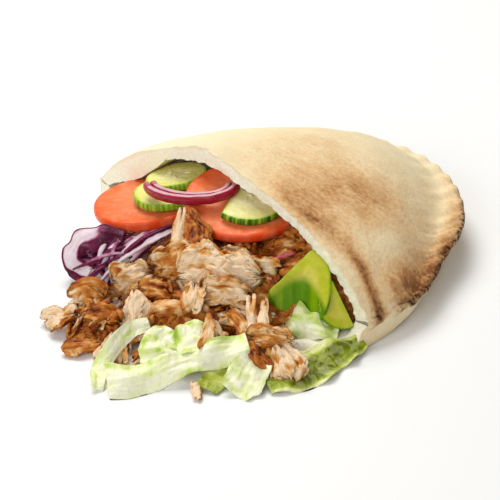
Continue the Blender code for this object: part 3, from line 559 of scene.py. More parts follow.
def torn_slice(path, width, thickness, browned, curl=0.0, crumple=1.0, face=FRONT_SIDE, seed=1,
               spacing=0.8, ragged=0.20):
    """A thin slice of meat torn along its fibres: ragged edges, folds and fine ridges."""
    rng = random.Random(seed)
    shift = rng.uniform(0.0, 90.0)
    seared_side = rng.choice((-1.0, 1.0))
    widths = [(w, 0.0) for w in (width if isinstance(width, tuple) else (width, width))]
    broadest = max(w for w, z in widths)
    length = sum(np.linalg.norm(np.subtract(b, a)) for a, b in zip(path, path[1:]))
    stations = max(10, int(length / spacing))
    ribs = max(8, int(broadest / spacing))
    upper, under, tone, flow, across_flow = [], [], [], [], []
    for i in range(stations + 1):
        s = i / stations
        end = min(s, 1.0 - s)
        corner = (1.0 - (1.0 - min(end / 0.16, 1.0)) ** 2) ** 0.5
        x = s * length
        edges = [1.0 + ragged * (2.4 * uneven(x / 9.0, 4.0 * side, shift)
                                 + 0.6 * uneven(x / 2.4, 4.0 * side, shift)
                                 + 0.3 * uneven(x / 1.0, 4.0 * side, shift)) for side in (-1, 1)]
        for j in range(ribs + 1):
            w = math.sin(math.pi * (j / ribs - 0.5))
            tears = [0.11 + (4.0 * uneven(w * broadest / 4.0, side, shift)
                             + 3.4 * uneven(w * broadest / 1.3, side, shift)) / length
                     for side in (-1, 1)]
            t = min(max(tears[0] + (1.0 - tears[0] - tears[1]) * s, 0.002), 0.998)
            centre, across, up = spline_frame(path, t, face)
            half = spline(widths, t)[0] / 2.0 * (0.30 + 0.70 * corner)
            half *= edges[0] if w < 0.0 else edges[1]
            y = w * broadest / 2.0
            wrinkle = uneven(x / 7.0, y / 2.6, shift + 4.0)
            ridge = uneven(x / 9.0, y / 0.9, shift + 8.0)
            lump = uneven(x / 2.6, y / 0.9, shift + 12.0)
            slit = max(0.0, uneven(x / 8.0, y / 1.5, shift + 24.0) - 0.28)
            crease = max(0.0, 1.0 - abs(uneven(x / 6.0, y / 4.0, shift + 16.0)) * 4.0)
            rise = crumple * (2.1 * uneven(x / 10.0, y / 7.0, shift) + 0.45 * wrinkle)
            rise += 0.28 * ridge + 0.14 * lump + curl * w * w - 0.8 * crumple * crease - 3.0 * slit
            thin = thickness * (0.14 + 0.86 * (1.0 - abs(w) ** 2.2) * min(1.0, end / 0.10 + 0.1))
            thin *= 1.0 + 0.25 * wrinkle
            skin = centre + across * (w * half)
            upper.append(skin + up * (rise + thin / 2.0))
            under.append(skin + up * (rise - thin / 2.0))
            # the mark darkens where the slice dips in slits and creases: painted shade in the dips, on
            # top of the browning
            tone.append(browned + 0.32 * uneven(x / 6.5, y / 5.0, shift + 20.0)
                        + 0.5 * max(0.0, seared_side * w - 0.45) + 0.10 * lump - 0.14 * ridge
                        + 0.10 * crease + 1.2 * slit)
            flow.append(x + shift)
            across_flow.append(y)
    darker = [value + 0.18 for value in tone]
    return upper + under, sheet_faces(stations, ribs), tone + darker, flow * 2, across_flow * 2


def joined(parts):
    """The points, faces and marks of several meshes, one after the other."""
    points, faces, *marks = ([] for column in parts[0])
    for more_points, more_faces, *more_marks in parts:
        faces += [tuple(len(points) + i for i in face) for face in more_faces]
        points += more_points
        for mark_values, more in zip(marks, more_marks):
            mark_values += more
    return points, faces, *marks


def make_meat_piece(name, shavings, material):
    points, faces, browned, fibre_u, fibre_v = joined(shavings)
    return make_piece(name, points, faces, material, lowest=MEAT_LOWEST,
                      browned=np.clip(browned, 0.0, 1.0), fibre_u=fibre_u, fibre_v=fibre_v)


def meat_material(name, painted_shade=0.0):
    """Moist roast meat: pale fibrous flesh, golden and dark brown where it was seared, and darker
    where shade is painted in.
    """
    material, tree, shader = shader_nodes(name, 0.42, 0.2, 0.04, (1.0, 0.40, 0.15))
    place = object_place(tree)
    along = put(tree, "ShaderNodeCombineXYZ", {"X": times(tree, mark(tree, "fibre_u"), 0.14),
                                               "Y": mark(tree, "fibre_v")})
    fibres = mottle(tree, along, 1.0, 0.30, 0.70, 4.0, 0.7)
    fine = mottle(tree, place, 800.0, 0.35, 0.65, 5.0, 0.3)
    spots = mottle(tree, place, 170.0, 0.40, 0.68, 5.0, 0.9)
    specks = mottle(tree, place, 420.0, 0.66, 0.74, 3.0, 0.5)
    level = times(tree, fibres, 0.13, mark(tree, "browned"))
    # the heap core's copy is shifted darker here: painted shade deep in the heap
    level = times(tree, spots, 0.26, times(tree, level, 1.0, painted_shade - 0.27), True)
    colour = colour_ramp(tree, level, (0.0, (0.86, 0.64, 0.42)), (0.20, (0.74, 0.44, 0.18)),
                         (0.38, (0.60, 0.22, 0.028)), (0.64, (0.40, 0.095, 0.010)),
                         (0.84, (0.17, 0.032, 0.006)), (1.0, (0.05, 0.012, 0.004)))
    colour = blend_colour(tree, times(tree, specks, 0.6), colour, (0.16, 0.05, 0.014))
    cover(tree, shader, colour, times(tree, fine, 0.28, 0.28),
          times(tree, fibres, 0.8, times(tree, fine, 0.5)), 0.55, 0.45)
    return material


MEAT_SKIN = meat_material("roast_meat")
# a darker copy for the heap core: painted shade deep in the heap
MEAT_HEAP_SHADE = meat_material("roast_meat_heap_shade", 0.04)

# Each row: path from end to end, width, thickness, browning from 0 to 1, how far the
# edges curl up, how crumpled the slice is, and its facing where it isn't the front.
LARGE_SLICES = [
    # a slab with a pale edge leaning on the tomato, and the pieces right of it
    ([(2, -22, 41), (13, -28, 34), (23, -34, 28)], (5, 14, 19), 3.0, 0.60, -2.0, 0.5),
    ([(1, -24, 40), (7, -31, 34), (14, -38, 28)], (4, 6, 6), 2.6, 0.0, 0.8, 0.5),
    ([(24, -22, 25), (31, -18, 25), (37, -13, 25)], 9, 2.4, 0.24, 0.0, 0.7),
    ([(38, -9, 26), (44, -1, 28), (50, 5, 29)], 10, 5, 0.56, 1.5, 1.5),
    ([(45, 3, 33), (51, 4, 32), (58, 5, 29)], 8, 4, 0.5, 1.0, 1.3, FLAT_SIDE),
    ([(50, -12, 26), (57, -3, 27), (63, 4, 26)], 10, 4, 0.62, 1.0, 1.4),
    # the large pale slice in the middle, its golden left end and its tongue
    ([(19, -47, 23), (30, -39, 26), (42, -31, 27), (53, -21, 26)], (17, 24, 21, 11), 2.6,
     0.04, -2.0, 0.9),
    ([(33, -46, 20), (44, -39, 22), (54, -30, 21)], 13, 3.2, 0.16, 0.5, 1.1),
    ([(31, -43, 23), (37, -50, 20), (41, -55, 16)], 9, 3.2, 0.14, 0.8, 1.2),
    ([(8, -48, 22), (15, -42, 26), (24, -35, 28)], 14, 5, 0.34, 1.0, 0.7),
    ([(36, -28, 28), (45, -19, 28), (53, -12, 27)], 8, 2.8, 0.18, 0.5, 0.8),
    # below it, from the left: a folded piece, a long thin one and a golden roll
    ([(-3, -62, 15), (2, -57, 18), (9, -48, 20)], 13, 4, 0.20, 1.5, 1.3),
    ([(10, -58, 16), (19, -55, 18), (27, -52, 18)], 9, 5, 0.52, 1.0, 0.8),
    ([(11, -61, 19), (18, -66, 14), (24, -71, 8), (27, -74, 3)], (9, 14, 13, 9), 1.8, 0.0, -2.0, 0.8),
    ([(25, -64, 13), (31, -57, 15), (38, -50, 16), (46, -47, 15)], 8, 6, 0.42, -1.5, 0.4),
    ([(16, -54, 15), (26, -50, 16), (38, -46, 16)], 8, 4, 0.80, 0.0, 1.0),
    ([(48, -50, 18), (56, -58, 14.5), (61, -66, 12.5)], 5, 2.0, 0.28, 0.3, 0.8),
    # the small heap at the far left
    ([(-11, -80, 10), (-5, -74, 14), (4, -70, 12)], 14, 5, 0.34, 1.5, 1.9),
    ([(5, -84, 8), (12, -79, 11), (20, -75, 11)], 12, 5, 0.56, 1.0, 1.8),
    ([(7, -100, 2.5), (14, -92, 4), (20, -85, 6)], 7, 3.2, 0.48, 0.5, 1.0, FLAT_SIDE),
    ([(21, -80, 10), (23, -85, 6), (25, -91, 2)], (2, 5, 7), 2.0, 0.08, 0.3, 0.4),
    ([(-17, -92, 4), (-9, -87, 7), (0, -82, 10)], 11, 2.2, 0.06, -1.0, 1.2, FLAT_SIDE),
    ([(-10, -70, 7), (-4, -66, 10), (3, -62, 12)], 10, 3.0, 0.45, 1.0, 1.5),
    # the small heap at the right, with the slice that hangs over the lettuce
    ([(54, -32, 22), (61, -38, 18), (68, -43, 14)], 4.5, 2.6, 0.12, 0.3, 0.8),
    ([(59, -28, 22), (65, -35, 18), (71, -40, 14)], 4.5, 2.6, 0.10, 0.3, 0.8),
    ([(66, -46, 13), (74, -40, 14), (82, -33, 12)], 11, 4, 0.38, 1.5, 1.5),
    ([(78, -39, 13), (86, -42, 8), (93, -45, 3.5)], (11, 15, 15), 2.4, 0.10, -1.5, 0.8,
     (0.5, -0.5, 0.7)),
    ([(50, -42, 17), (59, -44, 16), (68, -48, 13.6)], 6, 2.8, 0.38, 0.5, 1.0),
    ([(69, -49, 12), (76, -49, 9), (83, -48, 5)], 7, 3.0, 0.70, 0.5, 1.2)]


def slope_height(x, y):
    """Height of the heap's face in front of the mouth."""
    left_heap = 12.0 * spot(x, y, LEFT_HEAP, (12.0, 9.0))
    return max(3.0 + left_heap, 31.0 + 0.42 * y - 0.5 * max(0.0, abs(x - SLOPE_MIDDLE) - 30.0))


def inside_heap(x, y):
    """Whether a small piece may lie there: on the heap, clear of wedge and tomato."""
    if abs(x - LEFT_HEAP[0]) < 14.0 and abs(y - LEFT_HEAP[1]) < 10.0:
        return True
    beside_wedge = x < 44.0 or y < -34.0 - 0.3 * (x - 44.0)
    on_slope = abs(x - SLOPE_MIDDLE) <= 34.0 + 0.35 * (y + 40.0)
    return on_slope and x <= 98.0 + 0.7 * y and beside_wedge


def strewn_slices(count, seed, low, high):
    """Smaller pieces lying over the slope by rule, most of them pale or golden."""
    rng = random.Random(seed)
    pieces = []
    while len(pieces) < count:
        x, y = rng.uniform(-10.0, 68.0), rng.uniform(-88.0, -19.0)
        if not inside_heap(x, y):
            continue
        turn = rng.uniform(0.0, math.pi)
        reach = rng.uniform(low, high)
        ahead = np.array([math.cos(turn), math.sin(turn), 0.35 * math.sin(turn)]) * reach
        middle = np.array([x, y, slope_height(x, y) + rng.uniform(-1.0, 2.0)])
        face = unit((rng.uniform(-0.4, 0.5), -0.45, 0.8))
        path = [middle - ahead - (0, 0, 1.5), middle, middle + ahead - (0, 0, 1.5)]
        width = reach * rng.choice((0.22, 0.3, 0.5, 0.75, 0.95))
        thickness = rng.uniform(1.0, 2.2)
        browned = rng.choice((0.05, 0.12, 0.2, 0.35, 0.5, 0.65))
        curl = rng.uniform(-1.0, 1.5)
        pieces.append(torn_slice(path, width, thickness, browned, curl, 1.0, face, rng.random(),
                                 0.8, 0.22))
    return pieces


def heap_core():
    """Lumpy scraps that fill the heap behind the slices that show: dark brown meat, darkened further
    as painted shade deep in the heap.
    """
    rings, segments = 44, 110
    last = rings * segments
    hub = last + segments
    closing = [(hub, last + (j + 1) % segments, last + j) for j in range(segments)]
    shells = []
    for centre, radii in (((24, -12, 3), (46, 33, 22)), ((24, -42, 0), (31, 28, 16)),
                          ((8, -76, 0), (16, 16, 7)), ((65, -35, 0), (13, 11, 10)),
                          ((42, 8, 4), (40, 14, 28)), ((-16, 14, 4), (42, 12, 13))):
        points = []
        for polar in (math.pi / 2 * i / rings for i in range(rings + 1)):
            for a in (2 * math.pi * j / segments for j in range(segments)):
                out = np.array([math.sin(polar) * math.cos(a), math.sin(polar) * math.sin(a),
                                math.cos(polar)])
                p = np.array(centre) + out * radii
                bump = noise.fractal(Vector(p) / 7.0, 0.8, 2.0, 4)
                points.append(p + out * (2.6 * bump + 1.0 * noise.noise(Vector(p) / 1.7)))
        points.append(np.array(centre, float))
        # dark all over: the scraps' own brown, darkened as painted shade deep in the heap
        tone = [0.62 + 0.35 * noise.noise(Vector(p) / 4.0) - 0.35 * noise.noise(Vector(p) / 1.7)
                for p in points]
        flow = [p[0] * 0.8 + p[1] * 0.3 for p in points]
        cross = [p[1] * 0.7 - p[2] for p in points]
        shells.append((points, tube_faces(rings, segments) + closing, tone, flow, cross))
    return shells


def growing_tree(name, sizes):
    """A new geometry tree with a named input for each of its sizes."""
    tree = bpy.data.node_groups.new(name, "GeometryNodeTree")
    tree.interface.new_socket("Geometry", in_out="INPUT", socket_type="NodeSocketGeometry")
    for label, value in sizes.items():
        kind = "NodeSocketInt" if isinstance(value, int) else "NodeSocketFloat"
        tree.interface.new_socket(label, in_out="INPUT", socket_type=kind).default_value = value
    tree.interface.new_socket("Material", in_out="INPUT", socket_type="NodeSocketMaterial")
    tree.interface.new_socket("Geometry", in_out="OUTPUT", socket_type="NodeSocketGeometry")
    return tree, tree.nodes.new("NodeGroupInput").outputs


def scattered(tree, given, **only):
    """Points strewn over the faces, none closer to another than the spacing."""
    return put(tree, "GeometryNodeDistributePointsOnFaces",
               {"Mesh": given["Geometry"], "Distance Min": given["Spacing"],
                "Density Max": given["Density"], "Seed": given["Seed"], **only}, "Points",
               distribute_method="POISSON")


def finish_tree(tree, given, made):
    """Realize what the tree made, shade it smooth and give it its material."""
    real = put(tree, "GeometryNodeRealizeInstances", {"Geometry": made})
    smooth = put(tree, "GeometryNodeSetShadeSmooth", {"Geometry": real})
    coat = put(tree, "GeometryNodeSetMaterial", {"Geometry": smooth, "Material": given["Material"]})
    tree.links.new(coat, tree.nodes.new("NodeGroupOutput").inputs["Geometry"])
    return tree


def grown_piece(base, tree, name, material, **sizes):
    """What the tree grows on the base, as a plain object; the base is removed."""
    modifier = base.modifiers.new("grow", "NODES")
    modifier.node_group = tree
    sizes["Material"] = material
    for item in tree.interface.items_tree:
        if item.in_out == "INPUT" and item.name in sizes:
            modifier[item.identifier] = sizes[item.name]
    bpy.context.view_layer.update()
    evaluated = base.evaluated_get(bpy.context.evaluated_depsgraph_get())
    mesh = bpy.data.meshes.new_from_object(evaluated)
    base.modifiers.clear()
    bpy.data.objects.remove(base, do_unlink=True)
    mesh.name = name
    return link_object(name, mesh)


def join_into(target, other, *marks):
    """Join another piece into the target, with 0 for the marks that it lacks."""
    for key in marks:
        if key not in other.data.attributes:
            set_mark(other.data, key, np.zeros(len(other.data.vertices)))
    with bpy.context.temp_override(active_object=target, selected_editable_objects=[target, other]):
        bpy.ops.object.join()


def crumb_tree():
    """Small crumbs of meat scattered over the front of the heap."""
    tree, given = growing_tree("meat_crumbs", {"Size": 0.0013, "Density": 60000.0,
                                               "Spacing": 0.0022, "Seed": 8})
    tone = put(tree, "FunctionNodeRandomValue", {2: 0.45, 3: 0.95}, 1)
    places = put(tree, "GeometryNodeStoreNamedAttribute",
                 {"Geometry": scattered(tree, given), "Name": "browned", "Value": tone})
    ball = put(tree, "GeometryNodeMeshIcoSphere", {"Radius": given["Size"], "Subdivisions": 2})
    stretch = put(tree, "FunctionNodeRandomValue", {0: (0.6, 0.4, 0.3), 1: (2.6, 1.2, 0.9)},
                  data_type="FLOAT_VECTOR")
    any_turn = (6.28, 6.28, 6.28)
    turn = put(tree, "FunctionNodeRandomValue", {1: any_turn}, data_type="FLOAT_VECTOR")
    return finish_tree(tree, given, put(tree, "GeometryNodeInstanceOnPoints", {
        "Points": places, "Instance": ball, "Rotation": turn, "Scale": stretch}))


heap_shells = heap_core()
core = make_meat_piece("meat_heap_core", heap_shells, MEAT_HEAP_SHADE)
crumb_ground = make_meat_piece("crumb_ground", heap_shells[:2], MEAT_SKIN)
crumbs = grown_piece(crumb_ground, crumb_tree(), "meat_crumbs", MEAT_SKIN)
join_into(core, crumbs, "fibre_u", "fibre_v")
for corner in core.data.vertices:
    corner.co.z = max(corner.co.z, MEAT_LOWEST * MM)
dress(core, "roast_meat", "doner_meat")
large = [torn_slice(*row, seed=60 + k, spacing=0.5) for k, row in enumerate(LARGE_SLICES)]
slices = make_meat_piece("meat_slices", large, MEAT_SKIN)
dress(slices, "roast_meat", "doner_meat")
scraps = make_meat_piece("meat_scraps", strewn_slices(165, 23, 3.0, 7.5), MEAT_SKIN)
dress(scraps, "roast_meat", "doner_meat")
loose = torn_slice([(64, -73, 3.5), (69, -76, 2.4), (74, -79.5, 1.3)], 4.0, 1.6, 0.0, 0.3, 0.3,
                   (0.2, -0.3, 0.93), 5, 0.5, 0.1)
strand = make_meat_piece("meat_strand", [loose], MEAT_SKIN)
dress(strand, "roast_meat", "meat_strand_front")

# TOMATO
# Two slices cut across a ripe tomato: red skin round the edge, firm salmon-red flesh,
# paler streaks that run in towards the core. The cut faces are wet.
TOMATO_RADIUS = 27.0
LEFT_TILT = (-0.105, -0.05, 0.993)
RIGHT_TILT = (0.152, -0.141, 0.978)


def slice_axes(normal, heading):
    normal = unit(normal)
    across = unit(np.asarray(heading, float) - np.dot(heading, normal) * normal)
    return across, np.cross(normal, across), normal


def round_slice(centre, normal, heading, thickness, outline, rings=16, relief_mm=0.25, shift=0.0,
                facet=None):
    """A slice from an outline in its own plane: two cut faces and a rounded wall.

    facet(u, w) tells how far a second, sloping cut lowers the upper face there.
    """
    across, up, face = slice_axes(normal, heading)
    outline = np.asarray(outline, float)
    middle = outline.mean(axis=0)
    half = thickness / 2.0
    profile = [(half, r) for r in np.linspace(0.0, 0.94, rings)]
    profile += [(half * 0.93, 0.975), (half * 0.6, 1.0), (0.0, 1.008), (-half * 0.6, 1.0),
                (-half * 0.93, 0.975)]
    profile += [(-half, r) for r in np.linspace(0.94, 0.0, rings)]
    count = len(outline)
    points, ratio, turn, lowered = [], [], [], []
    for height, scale in profile:
        for n, corner in enumerate(outline):
            u, w = middle + (corner - middle) * scale
            flat = 1.0 if abs(height) > 0.95 * half else 0.0
            wobble = relief_mm * flat * noise.fractal(Vector((u / 4.0, w / 4.0, shift)), 1.0, 2.0, 3)
            sag = 0.6 * uneven(u / 22.0, w / 22.0, shift + 5.0)
            drop = facet(u, w) if facet and height > -half * 0.5 else 0.0
            level = max(height - drop, -half * 0.6) if height > -half * 0.5 else height
            points.append(np.asarray(centre) + across * u + up * w + face * (level + wobble + sag))
            ratio.append(scale)
            turn.append(n / count)
            lowered.append(float(step(drop, 0.8, 3.4)))
    return points, tube_faces(len(profile) - 1, count), ratio, turn, lowered


def circle(radius, start=0.0, sweep=360.0, count=150, lobes=0.0):
    """Outline of a whole round, or of a piece of it with a straight cut."""
    full = sweep >= 360.0
    steps = count if full else count - 1
    outline = []
    for i in range(count):
        a = math.radians(start + sweep * i / steps)
        r = radius * (1.0 + lobes * math.cos(5 * a + 0.7) + 0.5 * lobes * math.sin(3 * a))
        outline.append((r * math.cos(a), r * math.sin(a)))
    if full:
        return outline
    first, last = np.array(outline[0]), np.array(outline[-1])
    cut = [tuple(last + (first - last) * k / 40.0) for k in range(1, 40)]
    return outline + cut


def tomato_material():
    material, tree, shader = shader_nodes("tomato_flesh", 0.3, 0.18, 0.05, (1.0, 0.25, 0.1))
    place = object_place(tree)
    ratio = mark(tree, "ratio")
    rays = put(tree, "ShaderNodeCombineXYZ", {"X": mark(tree, "ray_x"), "Y": mark(tree, "ray_y"),
                                              "Z": times(tree, ratio, 1.4)})
    streaks = mottle(tree, rays, 5.0, 0.35, 0.7, 4.0, 0.4)
    fine = mottle(tree, place, 520.0, 0.35, 0.7, 4.0, 0.2)
    soft = mottle(tree, place, 90.0, 0.35, 0.65, 3.0, 0.5)
    colour = colour_ramp(tree, ratio, (0.0, (0.86, 0.27, 0.11)), (0.70, (0.88, 0.20, 0.065)),
                         (0.90, (0.88, 0.15, 0.03)), (0.965, (0.90, 0.105, 0.012)),
                         (1.0, (0.86, 0.070, 0.007)))
    colour = blend_colour(tree, times(tree, streaks, 0.28), colour, (0.90, 0.46, 0.26))
    colour = blend_colour(tree, times(tree, soft, 0.25), colour, (0.72, 0.09, 0.02))
    cover(tree, shader, colour, times(tree, fine, 0.2, 0.26), times(tree, fine, 0.5, streaks),
          0.25, 0.35)
    return material


TOMATO_SKIN = tomato_material()
for name, centre, normal, radius, thickness, shift in (
        ("tomato_slice_right", (9.5, 5.4, 36.0), RIGHT_TILT, TOMATO_RADIUS, 4.6, 3.0),
        ("tomato_slice_left", (-42.0, -9.5, 20.6), LEFT_TILT, TOMATO_RADIUS - 1.0, 5.0, 8.0)):
    points, faces, ratio, turn, lowered = round_slice(centre, normal, (1, 0, 0), thickness,
                                                      circle(radius, lobes=0.008), 18, 0.3, shift)
    tomato = make_piece(name + "_flesh", points, faces, TOMATO_SKIN, ratio=ratio,
                        ray_x=[math.cos(2 * math.pi * t) for t in turn],
                        ray_y=[math.sin(2 * math.pi * t) for t in turn])
    dress(tomato, "tomato", name)

# CUCUMBER
# Slices and a thick wedge of unpeeled cucumber: dark rind ribbed with paler lines, a
# bright ring under it, pale watery flesh and flat seeds lying round the core.
CUCUMBER_RADIUS = 20.0
RIND_STARTS = 0.955
SEEDLESS_CORE = 0.16
LINES_ROUND_SLICE = 46.0
LINES_PER_MM = 0.14


def cucumber_material(name, flesh, core, deep, rind):
    material, tree, shader = shader_nodes(name, 0.3, 0.18, 0.08, (0.6, 1.0, 0.25))
    place = object_place(tree)
    ribs = put(tree, "ShaderNodeCombineXYZ", {"X": mark(tree, "around")})
    lines = mottle(tree, ribs, 1.0, 0.36, 0.64, 2.0, 0.0)
    fine = mottle(tree, place, 480.0, 0.3, 0.7, 4.0, 0.3)
    soft = mottle(tree, place, 120.0, 0.4, 0.7, 3.0, 0.6)
    colour = colour_ramp(tree, mark(tree, "ratio"), (0.0, core), (0.42, core), (0.62, flesh),
                         (0.86, flesh), (0.94, deep), (1.0, deep))
    paler = tuple(min(0.92, 1.15 * channel + 0.03) for channel in core)
    colour = blend_colour(tree, times(tree, soft, 0.4), colour, paler)
    skin = colour_ramp(tree, lines, *zip((0.0, 0.5, 1.0), rind))
    colour = blend_colour(tree, mark(tree, "rind"), colour, skin)
    cover(tree, shader, colour, times(tree, fine, 0.25, 0.14), times(tree, soft, 0.6, fine),
          0.3, 0.3)
    return material


def seed_tree():
    """Flat seeds scattered over the core of a slice, each pointing to its middle."""
    tree, given = growing_tree("cucumber_seeds", {
        "Length": 0.0034, "Width": 0.0015, "Thickness": 0.0009, "Reach": 0.44,
        "Density": 60000.0, "Spacing": 0.0022, "Seed": 3})
    ratio = put(tree, "GeometryNodeInputNamedAttribute", {"Name": "upper_ratio"}, "Attribute",
                data_type="FLOAT")
    core = put(tree, "FunctionNodeCompare", {0: ratio, 1: given["Reach"]}, "Result",
               operation="LESS_THAN")
    places = scattered(tree, given, Selection=core)
    inward = put(tree, "GeometryNodeInputNamedAttribute", {"Name": "inward"}, "Attribute",
                 data_type="FLOAT_VECTOR")
    aim = put(tree, "FunctionNodeAlignRotationToVector",
              {"Rotation": places.node.outputs["Rotation"], "Vector": inward}, "Rotation",
              axis="X", pivot_axis="Z")
    ball = put(tree, "GeometryNodeMeshIcoSphere", {"Radius": 0.5, "Subdivisions": 2})
    size = put(tree, "ShaderNodeCombineXYZ", {"X": given["Length"], "Y": given["Width"],
                                              "Z": given["Thickness"]})
    return finish_tree(tree, given, put(tree, "GeometryNodeInstanceOnPoints", {
        "Points": places, "Instance": ball, "Rotation": aim, "Scale": size}))


def cucumber_piece(name, nodes, centre, normal, heading, thickness, outline, rind_test, material,
                   shift, facet=None, seeds=0):
    """A cucumber slice; rind_test says where along the outline the skin is."""
    points, faces, ratio, turn, lowered = round_slice(centre, normal, heading, thickness, outline,
                                                      18, 0.22, shift, facet)
    skin = [max(low, 1.0 if r > RIND_STARTS and rind_test(t) else 0.0)
            for r, t, low in zip(ratio, turn, lowered)]
    # The paler lines run round a slice, and straight along the rind of a facet.
    around = [t * LINES_ROUND_SLICE for t in turn]
    if facet:
        around = [float(np.dot(point, unit(heading))) * LINES_PER_MM for point in points]
    piece = make_piece(name, points, faces, material, ratio=ratio, rind=skin, around=around)
    if seeds:
        grow_seeds(name, piece, centre, normal, material, seeds)
    dress(piece, "cucumber", *nodes)


def grow_seeds(name, piece, centre, normal, material, seed):
    """Seeds on the upper face of a slice, joined to the slice."""
    base = link_object(name, piece.data.copy())
    count = len(base.data.vertices)
    ratio, places = np.zeros(count, np.float32), np.zeros(3 * count, np.float32)
    base.data.attributes["ratio"].data.foreach_get("value", ratio)
    base.data.vertices.foreach_get("co", places)
    away = places.reshape(count, 3) - in_frame(centre)
    upper = (away @ unit(normal) > 0.0) & (ratio > SEEDLESS_CORE)
    set_mark(base.data, "upper_ratio", np.where(upper, ratio, 1.0))
    inward = base.data.attributes.new("inward", "FLOAT_VECTOR", "POINT")
    inward.data.foreach_set("vector", (-away).astype(np.float32).ravel())
    seeds = grown_piece(base, SEED_TREE, name + "_seeds", material, Seed=seed)
    join_into(piece, seeds, "ratio", "rind", "around")


SEED_TREE = seed_tree()
CUCUMBER_SLICE = cucumber_material("cucumber_slice_flesh", (0.76, 0.70, 0.28), (0.86, 0.78, 0.44),
                                   (0.50, 0.62, 0.06),
                                   ((0.03, 0.10, 0.002), (0.10, 0.26, 0.006), (0.36, 0.50, 0.04)))
CUCUMBER_WEDGE = cucumber_material("cucumber_wedge_flesh", (0.46, 0.49, 0.022), (0.58, 0.54, 0.07),
                                   (0.28, 0.42, 0.004),
                                   ((0.08, 0.22, 0.001), (0.14, 0.32, 0.002), (0.26, 0.43, 0.004)))
CUCUMBER_YOUNG = cucumber_material("cucumber_young_flesh", (0.80, 0.76, 0.22), (0.88, 0.82, 0.40),
                                   (0.56, 0.66, 0.05),
                                   ((0.12, 0.28, 0.005), (0.28, 0.46, 0.02), (0.46, 0.58, 0.07)))
cucumber_piece("cucumber_left", ["cucumber_slice_left"], (-33.0, -3.0, 27.2), LEFT_TILT, (1, 0, 0),
               3.8, circle(CUCUMBER_RADIUS - 2.5, lobes=0.008), lambda t: True, CUCUMBER_YOUNG, 1.0,
               seeds=4)
cucumber_piece("cucumber_back", ["cucumber_slice_back"], (-35.0, 3.0, 32.7), (-0.2, -0.05, 0.97),
               (1, 0, 0), 3.4, circle(CUCUMBER_RADIUS - 5.0, lobes=0.008), lambda t: True,
               CUCUMBER_YOUNG, 2.0, seeds=5)
half_outline = circle(CUCUMBER_RADIUS - 1.0, -111.0, 222.0, 120)
cucumber_piece("cucumber_half", ["cucumber_half_slice"], (12.6, 5.6, 40.0), RIGHT_TILT,
               (0.89, 0.46, 0.0), 3.4, half_outline, lambda t: t * len(half_outline) < 119.5,
               CUCUMBER_SLICE, 3.0, seeds=6)


def smooth_outline(corners, count=140):
    """A closed soft outline through a few corners."""
    closed = np.array([corners[-1]] + corners + corners[:2], float)
    outline = []
    for i in range(count):
        place = 1.0 + i / count * len(corners)
        k = min(int(place), len(corners))
        outline.append(tuple(curve_between(*closed[k - 1:k + 3], place - k)))
    return outline


def wedge_slope(u, w):
    """The skin side of the wedge slopes down from a soft bent edge across its upper face."""
    reach = 4.6 - (0.05 if u < 0.5 else 0.16) * (u - 0.5) ** 2 - w
    return 0.40 * (reach + math.sqrt(reach * reach + 2.0))


wedge = smooth_outline([(4.8, 15.5), (0.4, 11.0), (-4.0, 6.5), (-9.0, 1.0), (-13.9, -4.5),
                        (-9.5, -9.5), (-2.0, -13.5), (6.5, -15.0), (11.0, -11.5), (13.0, -2.0),
                        (12.2, 8.0), (8.0, 14.0)])
cucumber_piece("cucumber_wedge", ["cucumber_chunk"], (62.6, -10.8, 20.4), (0.42, -0.39, 0.82),
               (0.68, 0.73, 0.0), 13.0, wedge, lambda t: 0.30 < t < 0.72, CUCUMBER_WEDGE, 4.0,
               wedge_slope)
corner_outline = circle(11.0, 90.0, 180.0, 80)
cucumber_piece("cucumber_corner", ["cucumber_slice_corner"], (78.8, -1.4, 16.0),
               (0.75, -0.41, 0.52), (0.31, 0.91, 0.27), 2.8, corner_outline,
               lambda t: t * len(corner_outline) < 79.5, CUCUMBER_WEDGE, 5.0)

# RED ONION
# Half a ring of red onion, two nested layers with a thin skin between them: the outside
# is deep magenta, the cut edge white and lilac. A loose strip lies further right.
ONION_CENTRE = np.array([-15.7, -4.7, 38.8])
ONION_ALONG = np.array([19.0, 8.6, 4.0])
ONION_FORWARD = np.array([13.8, -10.8, 1.8])
ONION_LAYERS = ((-3.1, -0.15), (0.1, 3.2))
ONION_HEIGHT = 2.1


def onion_material():
    material, tree, shader = shader_nodes("red_onion_skin", 0.2, 0.3, 0.06, (0.9, 0.4, 0.6))
    fine = mottle(tree, object_place(tree), 300.0, 0.3, 0.7, 4.0, 0.4)
    lines = put(tree, "ShaderNodeCombineXYZ", {"X": times(tree, mark(tree, "across"), 2.2),
                                               "Y": times(tree, mark(tree, "along"), 0.05)})
    veins = mottle(tree, lines, 1.6, 0.35, 0.65, 2.0, 0.2)
    colour = colour_ramp(tree, toned(tree, "skin", 0.08, veins, 0.22),
                         (0.0, (0.70, 0.47, 0.52)), (0.28, (0.52, 0.22, 0.29)),
                         (0.52, (0.44, 0.05, 0.09)), (1.0, (0.32, 0.006, 0.018)))
    cover(tree, shader, colour, times(tree, fine, 0.2, 0.12), times(tree, veins, 0.6, fine),
          0.25, 0.25)
    return material


